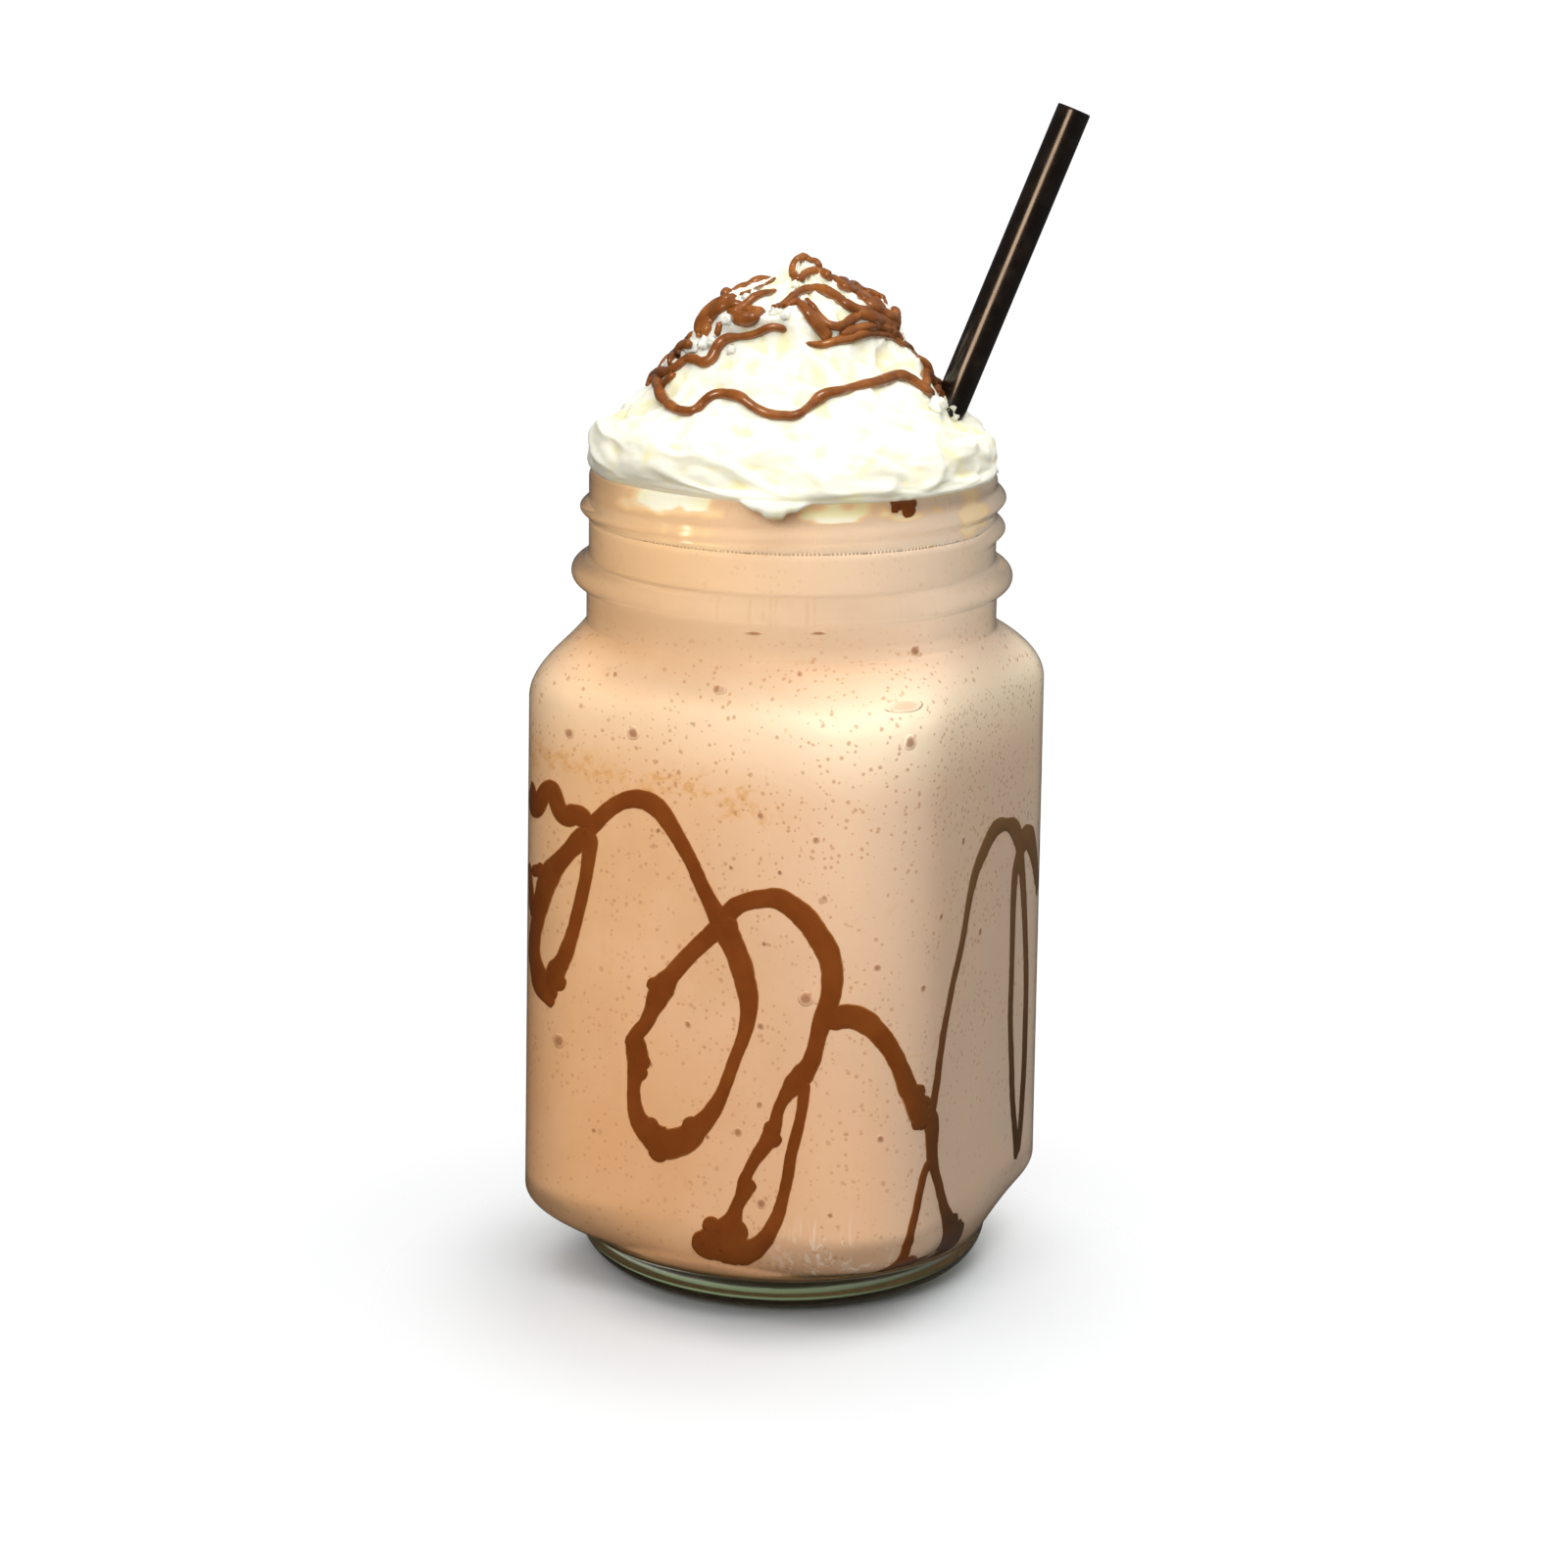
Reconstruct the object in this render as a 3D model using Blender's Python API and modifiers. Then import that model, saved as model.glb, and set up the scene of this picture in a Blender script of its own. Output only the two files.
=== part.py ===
# Milkshake in a square screw-neck glass jar, with whipped cream, chocolate drizzle and a straw.
# All sizes are in millimetres and become metres where a mesh is made. The jar's front face is at -Y.

import math

import bmesh
import bpy
import numpy as np
from mathutils import Matrix, Vector, noise

MM = 0.001
GAP = 0.3                    # clearance between solids that touch
TURN = 2.0 * math.pi

# Jar
RING_POINTS = 56             # points round every section of the jar and its contents
JAR_HEIGHT = 135.0
BASE_RADIUS = 27.3           # flat circle that the jar stands on
HEEL_RADIUS = 34.7
HEEL_TOP = 7.2
WALL_BOTTOM = 15.0
WALL_TOP = 98.6
HALF_WIDTH_BOTTOM = 36.9     # half across the flats
HALF_WIDTH_TOP = 36.4
CORNER_RADIUS = 17.0
SHOULDER_TOP = 109.5
NECK_RADIUS = 33.8
BEAD_HEIGHT = 118.0
BEAD_RADIUS = 36.3
BEAD_HALF = 2.4
FINISH_RADIUS = 33.45        # neck above the bead, the thread's root
RIM_ROUND = 1.3
GLASS = 3.0                  # wall thickness
MOUTH_RADIUS = 30.7
FLOOR = 6.0                  # inside bottom
FLOOR_RADIUS = 21.0
INNER_HEEL_RADIUS = 31.4
INNER_HEEL_TOP = 13.0
INNER_WALL_BOTTOM = 20.0

# Screw thread: one right-handed ridge
THREAD_PITCH = 5.08
THREAD_START = -6.0          # azimuth in degrees where the lower end fades in
THREAD_TURN = 430.0
THREAD_START_HEIGHT = 125.6
THREAD_DEPTH = 1.45
THREAD_HALF = 1.8
THREAD_ROOT = 0.7            # how far the ridge is sunk into the wall
THREAD_FADE = 26.0
THREAD_STEPS = 44

# Straw
STRAW_RADIUS = 2.8
STRAW_WALL = 0.3
STRAW_FOOT = Vector((-21.9, -15.8, 13.0))
STRAW_TIP = Vector((36.7, 27.4, 193.0))
STRAW_SIDES = 20

# Drink and cream
DRINK_TOP = 127.0
LIP_RADIUS = 33.2            # cream where it lies on the rim
TONGUE_AZIMUTH = -71.0       # the lick of cream that runs over the rim
TONGUE_HALF_ANGLE = 14.0
TONGUE_DROP = 2.5
TONGUE_THICK = 1.9
BARE_AZIMUTH = -104.0        # here the rim shows in front of the cream
BARE_HALF_ANGLE = 30.0
BARE_INSET = 1.7
MOUND_STEPS = 24
# Silhouette of the mound from the rim to the peak: radius, height
MOUND_PROFILE = [
    (33.3, 135.5), (33.6, 137.0), (32.8, 140.6), (30.6, 143.4), (27.4, 146.0),
    (24.2, 148.8), (21.9, 152.2), (19.2, 155.2), (17.0, 158.2), (16.0, 161.4),
    (13.6, 164.0), (9.4, 165.4), (5.2, 167.0), (2.4, 169.2), (0.0, 170.4),
]
MOUND_LEAN_AZIMUTH = 24.0    # the top leans a little this way
MOUND_LEAN = 1.0
LUMP_DEPTH = 0.9
FOLD_DEPTH = 0.55
FOLDS = 4

# Chocolate drizzle: each strand runs through points on the mound, given as
# azimuth in degrees and share of the way up, with a thickness
STRAND_RADIUS = 1.0
STRAND_RISE = 0.35           # how far a strand's centre lies outside the cream
STRAND_STEP = 3.2
CAP_MERGE = 0.01             # welds a strand's end caps on
SLIVER_MERGE = 0.1           # clears slivers after the strands are joined
FRONT_STRANDS = [
    (1.0, [(-152, 0.34), (-149, 0.39), (-143, 0.39), (-140, 0.35), (-132, 0.32), (-120, 0.31),
           (-106, 0.31), (-100, 0.37), (-90, 0.39), (-79, 0.34), (-66, 0.32), (-52, 0.40),
           (-37, 0.42), (-12, 0.42), (-2, 0.36)]),
    (1.0, [(-143, 0.39), (-131, 0.42), (-126, 0.47), (-118, 0.48), (-111, 0.49), (-107, 0.56),
           (-94, 0.58), (-78, 0.62), (-71, 0.61)]),
    (0.9, [(-142, 0.41), (-139, 0.49), (-128, 0.54), (-124, 0.59)]),
    (1.8, [(-125, 0.57), (-121, 0.62), (-115, 0.68)]),
    (0.8, [(-115, 0.69), (-104, 0.76), (-100, 0.84)]),
    (1.4, [(-107, 0.64), (-97, 0.66), (-87, 0.69)]),
    (0.8, [(-90, 0.68), (-86, 0.78)]),
    (0.9, [(-67, 0.83), (-84, 0.87), (-120, 0.92), (-220, 0.94), (-330, 0.95), (-362, 0.90)]),
    (1.0, [(-67, 0.83), (-45, 0.88), (-20, 0.88), (-14, 0.81), (-19, 0.73), (-20, 0.67)]),
    (1.0, [(-80, 0.69), (-71, 0.73), (-60, 0.78), (-42, 0.79), (-33, 0.76), (-36, 0.72), (-24, 0.67)]),
    (1.2, [(-70, 0.71), (-60, 0.66), (-52, 0.61), (-43, 0.58)]),
    (1.0, [(-61, 0.56), (-50, 0.57), (-27, 0.59), (-10, 0.58), (4, 0.54), (7, 0.47), (6, 0.38)]),
    (1.2, [(-47, 0.60), (-40, 0.63), (-22, 0.64), (1, 0.63)]),
    (2.2, [(-20, 0.66), (-8, 0.65), (4, 0.62)]),
    (0.9, [(-9, 0.81), (20, 0.79), (38, 0.73), (22, 0.68), (8, 0.60)]),
]
# Behind, three strands go on in waves: start and end azimuth, share, swing, waves, thickness
BACK_STRANDS = [
    (-2.0, 208.0, 0.37, 0.045, 3.5, 1.0),
    (4.0, 221.0, 0.56, 0.060, 3.0, 1.0),
    (30.0, 236.0, 0.76, 0.050, 2.5, 0.9),
]

# Colours: red, green, blue, roughness
GLASS_LOOK = (0.72, 0.78, 0.72, 0.05)
DRINK_LOOK = (0.72, 0.50, 0.35, 0.40)
CREAM_LOOK = (0.93, 0.90, 0.80, 0.55)
STRAW_LOOK = (0.015, 0.013, 0.013, 0.25)


def clear_scene():
    """Remove every object, so that the file starts empty."""
    for thing in list(bpy.data.objects):
        bpy.data.objects.remove(thing, do_unlink=True)


def new_collection(name):
    """Make a collection in the scene."""
    collection = bpy.data.collections.new(name)
    bpy.context.scene.collection.children.link(collection)
    return collection


def plain_material(name, look, alpha=1.0, transmission=0.0):
    """Make a Principled material from a colour and a roughness."""
    material = bpy.data.materials.new(name)
    material.use_nodes = True
    shader = material.node_tree.nodes["Principled BSDF"]
    shader.inputs["Base Color"].default_value = (*look[:3], 1.0)
    shader.inputs["Roughness"].default_value = look[3]
    shader.inputs["Metallic"].default_value = 0.0
    shader.inputs["Alpha"].default_value = alpha
    shader.inputs["Transmission Weight"].default_value = transmission
    return material


def smooth_step(value):
    """Ease from 0 to 1."""
    value = min(max(value, 0.0), 1.0)
    return value * value * (3.0 - 2.0 * value)


def angle_from(azimuth, centre):
    """Smallest angle between two azimuths, in degrees."""
    return abs((azimuth - centre + 180.0) % 360.0 - 180.0)


def loft(name, rings, collection, material, cap_ends=True):
    """Join rings of equal point counts into a closed, smooth-shaded body."""
    count = len(rings[0])
    points = [tuple(MM * value for value in point) for ring in rings for point in ring]
    faces = []
    for step in range(len(rings) - 1):
        for i in range(count):
            low = step * count
            j = (i + 1) % count
            faces.append((low + i, low + j, low + count + j, low + count + i))
    if cap_ends:
        faces.append(tuple(reversed(range(count))))
        faces.append(tuple(range(len(points) - count, len(points))))
    mesh = bpy.data.meshes.new(name)
    mesh.from_pydata(points, [], faces)
    soften(mesh)
    return add_object(name, mesh, collection, material)


def soften(mesh):
    """Turn the faces outward and shade them smooth, with sharp edges kept."""
    work = bmesh.new()
    work.from_mesh(mesh)
    bmesh.ops.recalc_face_normals(work, faces=work.faces)
    work.to_mesh(mesh)
    work.free()
    mesh.shade_smooth()
    mesh.set_sharp_from_angle(angle=math.radians(50.0))


def add_object(name, mesh, collection, material):
    """Put a mesh in a collection as a named object."""
    thing = bpy.data.objects.new(name, mesh)
    collection.objects.link(thing)
    if material:
        mesh.materials.clear()
        mesh.materials.append(material)
    return thing


def hide_helper(thing):
    """Show a cutter or a guide as wire only."""
    thing.hide_render = True
    thing.display_type = "WIRE"


def square_radius(azimuth, half, corner):
    """Distance from the centre to a rounded square's outline."""
    turn = abs((azimuth + math.pi / 4.0) % (math.pi / 2.0) - math.pi / 4.0)
    straight = half - corner
    if half * math.tan(turn) <= straight:
        return half / math.cos(turn)
    reach = straight * (math.cos(turn) + math.sin(turn))
    return reach + math.sqrt(corner ** 2 - straight ** 2 * (1.0 - math.sin(2.0 * turn)))


def ring(height, radius, half=0.0, corner=0.0, squareness=0.0):
    """One level section: a circle, a rounded square, or a blend of the two."""
    points = []
    for i in range(RING_POINTS):
        azimuth = TURN * i / RING_POINTS
        reach = radius
        if squareness:
            square = square_radius(azimuth, half, corner)
            reach = radius + (square - radius) * squareness
        points.append((reach * math.cos(azimuth), reach * math.sin(azimuth), height))
    return points


def body_rings(inset, heel_radius, heel_top, wall_bottom, neck_radius):
    """Sections of the square body from heel to neck, set in by a wall thickness."""
    corner = CORNER_RADIUS - inset
    low_half = HALF_WIDTH_BOTTOM - inset
    high_half = HALF_WIDTH_TOP - inset
    rings = []
    for share in (0.3, 0.65):
        height = heel_top + (wall_bottom - heel_top) * share
        squareness = math.sin(share * math.pi / 2.0) ** 0.86
        rings.append(ring(height, heel_radius, low_half, corner, squareness))
    rings.append(ring(wall_bottom, heel_radius, low_half, corner, 1.0))
    rings.append(ring(WALL_TOP, neck_radius, high_half, corner, 1.0))
    for share in (0.3, 0.55, 0.78, 1.0):
        height = WALL_TOP + (SHOULDER_TOP - WALL_TOP) * share
        rings.append(ring(height, neck_radius, high_half, corner, 1.0 - share ** 2))
    return rings


def outer_rings():
    """Outside of the jar, from the base to the rim."""
    rings = [ring(0.0, BASE_RADIUS)]
    for turn in (25.0, 55.0, 90.0):
        lift = 1.0 - math.cos(math.radians(turn))
        reach = BASE_RADIUS + (HEEL_RADIUS - BASE_RADIUS) * math.sin(math.radians(turn))
        rings.append(ring(HEEL_TOP * lift, reach))
    rings += body_rings(0.0, HEEL_RADIUS, HEEL_TOP, WALL_BOTTOM, NECK_RADIUS)
    rings.append(ring(BEAD_HEIGHT - BEAD_HALF, NECK_RADIUS))
    for turn in (-50.0, 0.0, 50.0):
        height = BEAD_HEIGHT + BEAD_HALF * math.sin(math.radians(turn))
        reach = FINISH_RADIUS + (BEAD_RADIUS - FINISH_RADIUS) * math.cos(math.radians(turn))
        rings.append(ring(height, reach))
    rings.append(ring(BEAD_HEIGHT + BEAD_HALF, FINISH_RADIUS))
    for turn in (0.0, 30.0, 60.0, 90.0):
        height = JAR_HEIGHT - RIM_ROUND * (1.0 - math.sin(math.radians(turn)))
        reach = FINISH_RADIUS - RIM_ROUND * (1.0 - math.cos(math.radians(turn)))
        rings.append(ring(height, reach))
    return rings


def inner_rings(gap):
    """Inside of the jar from the shoulder down to the floor, or what fills it with a gap."""
    rings = body_rings(GLASS + gap, INNER_HEEL_RADIUS - gap, INNER_HEEL_TOP,
                       INNER_WALL_BOTTOM, MOUTH_RADIUS - gap)
    rings.reverse()
    for turn in (90.0, 60.0, 30.0, 0.0):
        lift = 1.0 - math.cos(math.radians(turn))
        reach = FLOOR_RADIUS + (INNER_HEEL_RADIUS - FLOOR_RADIUS) * math.sin(math.radians(turn))
        rings.append(ring(FLOOR + gap + (INNER_HEEL_TOP - FLOOR - gap) * lift, reach - gap))
    return rings


def thread_ridge(cutters):
    """The screw thread as a closed ridge along a helix, sunk into the neck."""
    profile = [(0.0, -1.0), (0.5, -0.86), (0.88, -0.5), (1.0, 0.0), (0.88, 0.5), (0.5, 0.86), (0.0, 1.0)]
    rings = []
    for step in range(THREAD_STEPS + 1):
        run = THREAD_TURN * step / THREAD_STEPS
        azimuth = math.radians(THREAD_START + run)
        height = THREAD_START_HEIGHT + THREAD_PITCH * run / 360.0
        swell = smooth_step(min(run, THREAD_TURN - run) / THREAD_FADE)
        rise = (THREAD_ROOT + THREAD_DEPTH) * max(swell, 0.12)
        section = []
        for out, up in profile:
            reach = FINISH_RADIUS - THREAD_ROOT + rise * out
            section.append((reach * math.cos(azimuth), reach * math.sin(azimuth), height + THREAD_HALF * up))
        rings.append(section)
    ridge = loft("thread_ridge", rings, cutters, None)
    hide_helper(ridge)
    return ridge


def make_jar(parts, cutters):
    """Glass jar: rounded square body, round neck with a bead, and a screw thread."""
    rings = outer_rings()
    rings.append(ring(JAR_HEIGHT, MOUTH_RADIUS + 0.8))
    rings.append(ring(JAR_HEIGHT - 0.8, MOUTH_RADIUS))
    rings += inner_rings(0.0)
    jar = loft("jar", rings, parts, plain_material("glass", GLASS_LOOK, 0.35, 1.0))
    join = jar.modifiers.new("thread", "BOOLEAN")
    join.operation = "UNION"
    join.solver = "EXACT"
    join.object = thread_ridge(cutters)
    return jar


def straw_matrix():
    """Places a piece made along +Z about the origin on the straw's axis."""
    run = STRAW_TIP - STRAW_FOOT
    middle = (STRAW_TIP + STRAW_FOOT) * 0.5 * MM
    return Matrix.Translation(middle) @ run.to_track_quat("Z", "Y").to_matrix().to_4x4()


def straw_cylinder(name, radius, spare, closed, collection, material):
    """A cylinder along the straw, longer by a spare length at each end."""
    work = bmesh.new()
    depth = ((STRAW_TIP - STRAW_FOOT).length + 2.0 * spare) * MM
    bmesh.ops.create_cone(work, cap_ends=closed, cap_tris=False, segments=STRAW_SIDES,
                          radius1=radius * MM, radius2=radius * MM, depth=depth)
    mesh = bpy.data.meshes.new(name)
    work.to_mesh(mesh)
    work.free()
    mesh.shade_smooth()
    mesh.set_sharp_from_angle(angle=math.radians(50.0))
    thing = add_object(name, mesh, collection, material)
    thing.matrix_world = straw_matrix()
    return thing


def make_straw(parts):
    """Straight hollow drinking straw."""
    straw = straw_cylinder("straw", STRAW_RADIUS, 0.0, False, parts, plain_material("straw_black", STRAW_LOOK))
    wall = straw.modifiers.new("wall", "SOLIDIFY")
    wall.thickness = STRAW_WALL * MM
    wall.offset = -1.0
    return straw


def cut_round_straw(thing, cutter):
    """Leave room for the straw in a solid."""
    cut = thing.modifiers.new("straw_way", "BOOLEAN")
    cut.operation = "DIFFERENCE"
    cut.solver = "EXACT"
    cut.object = cutter


def make_drink(parts, cutter):
    """The drink, which fills the jar to the neck."""
    rings = [ring(DRINK_TOP, MOUTH_RADIUS - GAP)]
    rings += inner_rings(GAP)
    drink = loft("shake", rings, parts, plain_material("shake", DRINK_LOOK))
    cut_round_straw(drink, cutter)
    return drink


def mound_profile(share):
    """Radius and height on the mound's silhouette, from the rim (0) to the peak (1)."""
    along = min(max(share, 0.0), 1.0) * (len(MOUND_PROFILE) - 1)
    knot = min(int(along), len(MOUND_PROFILE) - 2)
    part = along - knot
    before = np.array(MOUND_PROFILE[max(knot - 1, 0)])
    start = np.array(MOUND_PROFILE[knot])
    end = np.array(MOUND_PROFILE[knot + 1])
    after = np.array(MOUND_PROFILE[min(knot + 2, len(MOUND_PROFILE) - 1)])
    bend = (2.0 * before - 5.0 * start + 4.0 * end - after) * part ** 2
    twist = (3.0 * start - before - 3.0 * end + after) * part ** 3
    radius, height = 0.5 * (2.0 * start + (end - before) * part + bend + twist)
    return max(radius, 0.0), height


def mound_relief(azimuth, share):
    """Lumps and slanting folds of the whipped cream, as an outward distance."""
    around = math.radians(azimuth)
    where = Vector((1.7 * math.cos(around), 1.7 * math.sin(around), 4.2 * share))
    lumps = noise.noise(where) + 0.5 * noise.noise(where * 2.3)
    folds = math.sin(FOLDS * around - 13.0 * share + 1.6 * noise.noise(where * 0.8))
    calm = smooth_step(share / 0.1) * smooth_step((1.0 - share) / 0.12)
    return calm * (LUMP_DEPTH * lumps + FOLD_DEPTH * folds)


def mound_point(azimuth, share, lift=0.0):
    """A point on the mound, or lifted off it along the silhouette's normal."""
    radius, height = mound_profile(share)
    near_radius, near_height = mound_profile(share - 0.01)
    far_radius, far_height = mound_profile(share + 0.01)
    slope = Vector((far_radius - near_radius, far_height - near_height)).normalized()
    shift = mound_relief(azimuth, share) + lift
    if share < 0.05:
        bare = smooth_step(1.0 - angle_from(azimuth, BARE_AZIMUTH) / BARE_HALF_ANGLE)
        radius -= BARE_INSET * bare * (1.0 - share / 0.05)
    radius = max(radius + slope.y * shift, 0.0)
    height -= slope.x * shift
    lean = MOUND_LEAN * smooth_step((share - 0.55) / 0.45)
    around = math.radians(azimuth)
    tilt = math.radians(MOUND_LEAN_AZIMUTH)
    return Vector((radius * math.cos(around) + lean * math.cos(tilt),
                   radius * math.sin(around) + lean * math.sin(tilt), height))


def cream_rings():
    """Sections of the cream: in the neck, over the rim, and up the mound to the peak."""
    neck = MOUTH_RADIUS - GAP
    rings = [ring(DRINK_TOP + GAP, neck), ring(JAR_HEIGHT + GAP, neck)]
    under = []
    tip_in = []
    tip_out = []
    for i in range(RING_POINTS):
        azimuth = 360.0 * i / RING_POINTS
        around = math.radians(azimuth)
        flat = Vector((math.cos(around), math.sin(around), 0.0))
        tongue = smooth_step(1.0 - angle_from(azimuth, TONGUE_AZIMUTH) / TONGUE_HALF_ANGLE)
        bare = smooth_step(1.0 - angle_from(azimuth, BARE_AZIMUTH) / BARE_HALF_ANGLE)
        lip = LIP_RADIUS - BARE_INSET * bare * (1.0 - tongue)
        clear = FINISH_RADIUS + GAP
        inside = lip - 0.7 + (clear - lip + 0.7) * min(tongue * 4.0, 1.0)
        outside = lip + (clear + TONGUE_THICK * (0.4 + 0.6 * tongue) - lip) * min(tongue * 4.0, 1.0)
        under_height = JAR_HEIGHT + GAP
        under.append(flat * inside + Vector((0.0, 0.0, under_height)))
        drop = TONGUE_DROP * tongue
        tip_in.append(flat * (inside + 0.2) + Vector((0.0, 0.0, under_height + 0.05 - drop)))
        tip_out.append(flat * outside + Vector((0.0, 0.0, under_height + 0.25 - 0.8 * drop)))
    rings += [under, tip_in, tip_out]
    for step in range(1, MOUND_STEPS):
        share = step / MOUND_STEPS
        rings.append([mound_point(360.0 * i / RING_POINTS, share) for i in range(RING_POINTS)])
    return rings


def smooth_between(points, step):
    """A smooth curve through a list of points, as closely spaced points."""
    spots = [np.array(point, dtype=float) for point in points]
    spots = [2.0 * spots[0] - spots[1]] + spots + [2.0 * spots[-1] - spots[-2]]
    curve = []
    for knot in range(1, len(spots) - 2):
        before, start, end, after = spots[knot - 1:knot + 3]
        for part in np.arange(0.0, 1.0, step):
            bend = (2.0 * before - 5.0 * start + 4.0 * end - after) * part ** 2
            twist = (3.0 * start - before - 3.0 * end + after) * part ** 3
            curve.append(0.5 * (2.0 * start + (end - before) * part + bend + twist))
    curve.append(spots[-2])
    return curve


def merge_close(mesh, distance):
    """Weld points that lie very close together, and turn the faces outward."""
    work = bmesh.new()
    work.from_mesh(mesh)
    bmesh.ops.remove_doubles(work, verts=work.verts, dist=distance * MM)
    bmesh.ops.recalc_face_normals(work, faces=work.faces)
    work.to_mesh(mesh)
    work.free()


def strand_path(places):
    """Evenly spaced points a little outside the cream, along a route on the mound."""
    dense = [mound_point(azimuth, share, STRAND_RISE) for azimuth, share in smooth_between(places, 0.05)]
    path = [dense[0]]
    for point in dense:
        if (point - path[-1]).length >= STRAND_STEP:
            path.append(point)
    if (dense[-1] - path[-1]).length > 0.4 * STRAND_STEP:
        path.append(dense[-1])
    return path


def strand(name, places, thickness, collection):
    """One drizzle strand as a closed round tube, slimmer at its ends."""
    path = strand_path(places)
    curve = bpy.data.curves.new(name, "CURVE")
    curve.dimensions = "3D"
    curve.bevel_depth = STRAND_RADIUS * MM
    curve.bevel_resolution = 1
    curve.use_fill_caps = True
    spline = curve.splines.new("POLY")
    spline.points.add(len(path) - 1)
    for i, point in enumerate(path):
        spline.points[i].co = (*(point * MM), 1.0)
        at_end = i in (0, len(path) - 1)
        spline.points[i].radius = thickness * (0.6 if at_end else 1.0 + 0.12 * math.sin(2.3 * i))
    guide = bpy.data.objects.new(name, curve)
    collection.objects.link(guide)
    mesh = bpy.data.meshes.new_from_object(guide.evaluated_get(bpy.context.evaluated_depsgraph_get()))
    bpy.data.objects.remove(guide, do_unlink=True)
    merge_close(mesh, CAP_MERGE)
    return add_object(name, mesh, collection, None)


def make_drizzle(collection):
    """All the drizzle strands, front and back."""
    for i, (thickness, places) in enumerate(FRONT_STRANDS):
        strand(f"front_strand_{i + 1}", places, thickness, collection)
    for i, (start, end, share, swing, waves, thickness) in enumerate(BACK_STRANDS):
        places = []
        for step in range(17):
            run = step / 16.0
            places.append((start + (end - start) * run, share + swing * math.sin(waves * TURN * run)))
        strand(f"back_strand_{i + 1}", places, thickness, collection)


def make_cream(parts, cutter):
    """Whipped cream that fills the neck and stands in two soft tiers, with the drizzle fused on."""
    cream = loft("cream", cream_rings(), parts, plain_material("cream", CREAM_LOOK))
    strands = new_collection("drizzle")
    make_drizzle(strands)
    join = cream.modifiers.new("drizzle", "BOOLEAN")
    join.operation = "UNION"
    join.solver = "EXACT"
    join.operand_type = "COLLECTION"
    join.collection = strands
    bpy.context.view_layer.objects.active = cream
    bpy.ops.object.modifier_apply(modifier=join.name)
    for piece in list(strands.objects):
        bpy.data.objects.remove(piece, do_unlink=True)
    bpy.data.collections.remove(strands)
    merge_close(cream.data, SLIVER_MERGE)
    cut_round_straw(cream, cutter)
    return cream


def main():
    """Build the milkshake."""
    clear_scene()
    parts = new_collection("milkshake")
    cutters = new_collection("cutters")
    make_jar(parts, cutters)
    make_straw(parts)
    cutter = straw_cylinder("straw_way", STRAW_RADIUS + GAP, 5.0, True, cutters, None)
    hide_helper(cutter)
    make_drink(parts, cutter)
    make_cream(parts, cutter)


main()
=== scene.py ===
# Looks of the milkshake: glass jar, drink with chocolate swirls, whipped cream with drizzle, straw.
# Sizes are in millimetres and become metres where a mesh is made. The jar's front face is at -Y.
# Pixel coordinates are in the photograph's 1600 x 1600 frame.

import math

import bmesh
import bpy
import numpy as np
from mathutils import Matrix, Vector, noise
from mathutils.bvhtree import BVHTree


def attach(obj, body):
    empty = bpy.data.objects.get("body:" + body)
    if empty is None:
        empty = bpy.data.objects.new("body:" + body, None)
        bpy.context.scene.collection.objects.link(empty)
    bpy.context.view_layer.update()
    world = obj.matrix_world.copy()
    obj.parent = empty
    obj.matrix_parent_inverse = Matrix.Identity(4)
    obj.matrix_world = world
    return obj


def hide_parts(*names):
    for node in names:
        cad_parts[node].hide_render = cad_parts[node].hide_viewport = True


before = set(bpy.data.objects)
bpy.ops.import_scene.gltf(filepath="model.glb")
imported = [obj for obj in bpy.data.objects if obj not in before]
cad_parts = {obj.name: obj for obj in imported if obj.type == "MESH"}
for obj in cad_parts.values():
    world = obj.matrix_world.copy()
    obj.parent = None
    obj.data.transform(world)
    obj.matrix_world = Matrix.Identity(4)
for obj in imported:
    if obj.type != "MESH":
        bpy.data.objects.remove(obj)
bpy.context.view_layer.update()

MM = 0.001
TURN = 2.0 * math.pi

# Camera, solved from the jar's outline
IMAGE = 1600
VIEW_AZIMUTH = math.radians(24.17)
VIEW_DISTANCE = 650.0
VIEW_HEIGHT = 246.84
VIEW_SIDE = -0.77
VIEW_PITCH = math.radians(14.258)
VIEW_ROLL = math.radians(0.896)
FOCAL = 4100.8               # pixels
SENSOR = 36.0
RAY_SEARCH = (560, 800)      # distances from the camera between which a missed surface is looked for
SWIRL_SPREAD = 1.03          # factors on the widths read from the photograph
DRIZZLE_SPREAD = 1.16

# Jar, as in the solids
JAR_HEIGHT = 135.0
BASE_RADIUS = 27.3
HEEL_RADIUS = 34.7
HEEL_TOP = 7.2
WALL_BOTTOM = 15.0
WALL_TOP = 98.6
HALF_WIDTH_BOTTOM = 36.9
HALF_WIDTH_TOP = 36.4
CORNER_RADIUS = 17.0
SHOULDER_TOP = 109.5
NECK_RADIUS = 33.8
BEAD_HEIGHT = 118.0
BEAD_RADIUS = 36.3
BEAD_HALF = 2.4
FINISH_RADIUS = 33.45
RIM_ROUND = 1.3
INNER_RIM_ROUND = 0.8
GLASS = 3.0
MOUTH_RADIUS = 30.7
FLOOR = 5.2
FLOOR_RADIUS = 24.0
INNER_HEEL_RADIUS = 32.4
INNER_HEEL_TOP = 9.6
INNER_WALL_BOTTOM = 17.0
PUNT = 0.9                   # shallow hollow under the base
PUNT_RADIUS = 24.0
THREAD_PITCH = 5.08
THREAD_START = -6.0
THREAD_TURN = 430.0
THREAD_START_HEIGHT = 125.6
THREAD_DEPTH = 1.45
THREAD_HALF = 1.8
THREAD_FADE = 26.0
NECK_ROW = 0.3               # height of a mesh row on the neck
AROUND = 288                 # points round the jar

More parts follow.
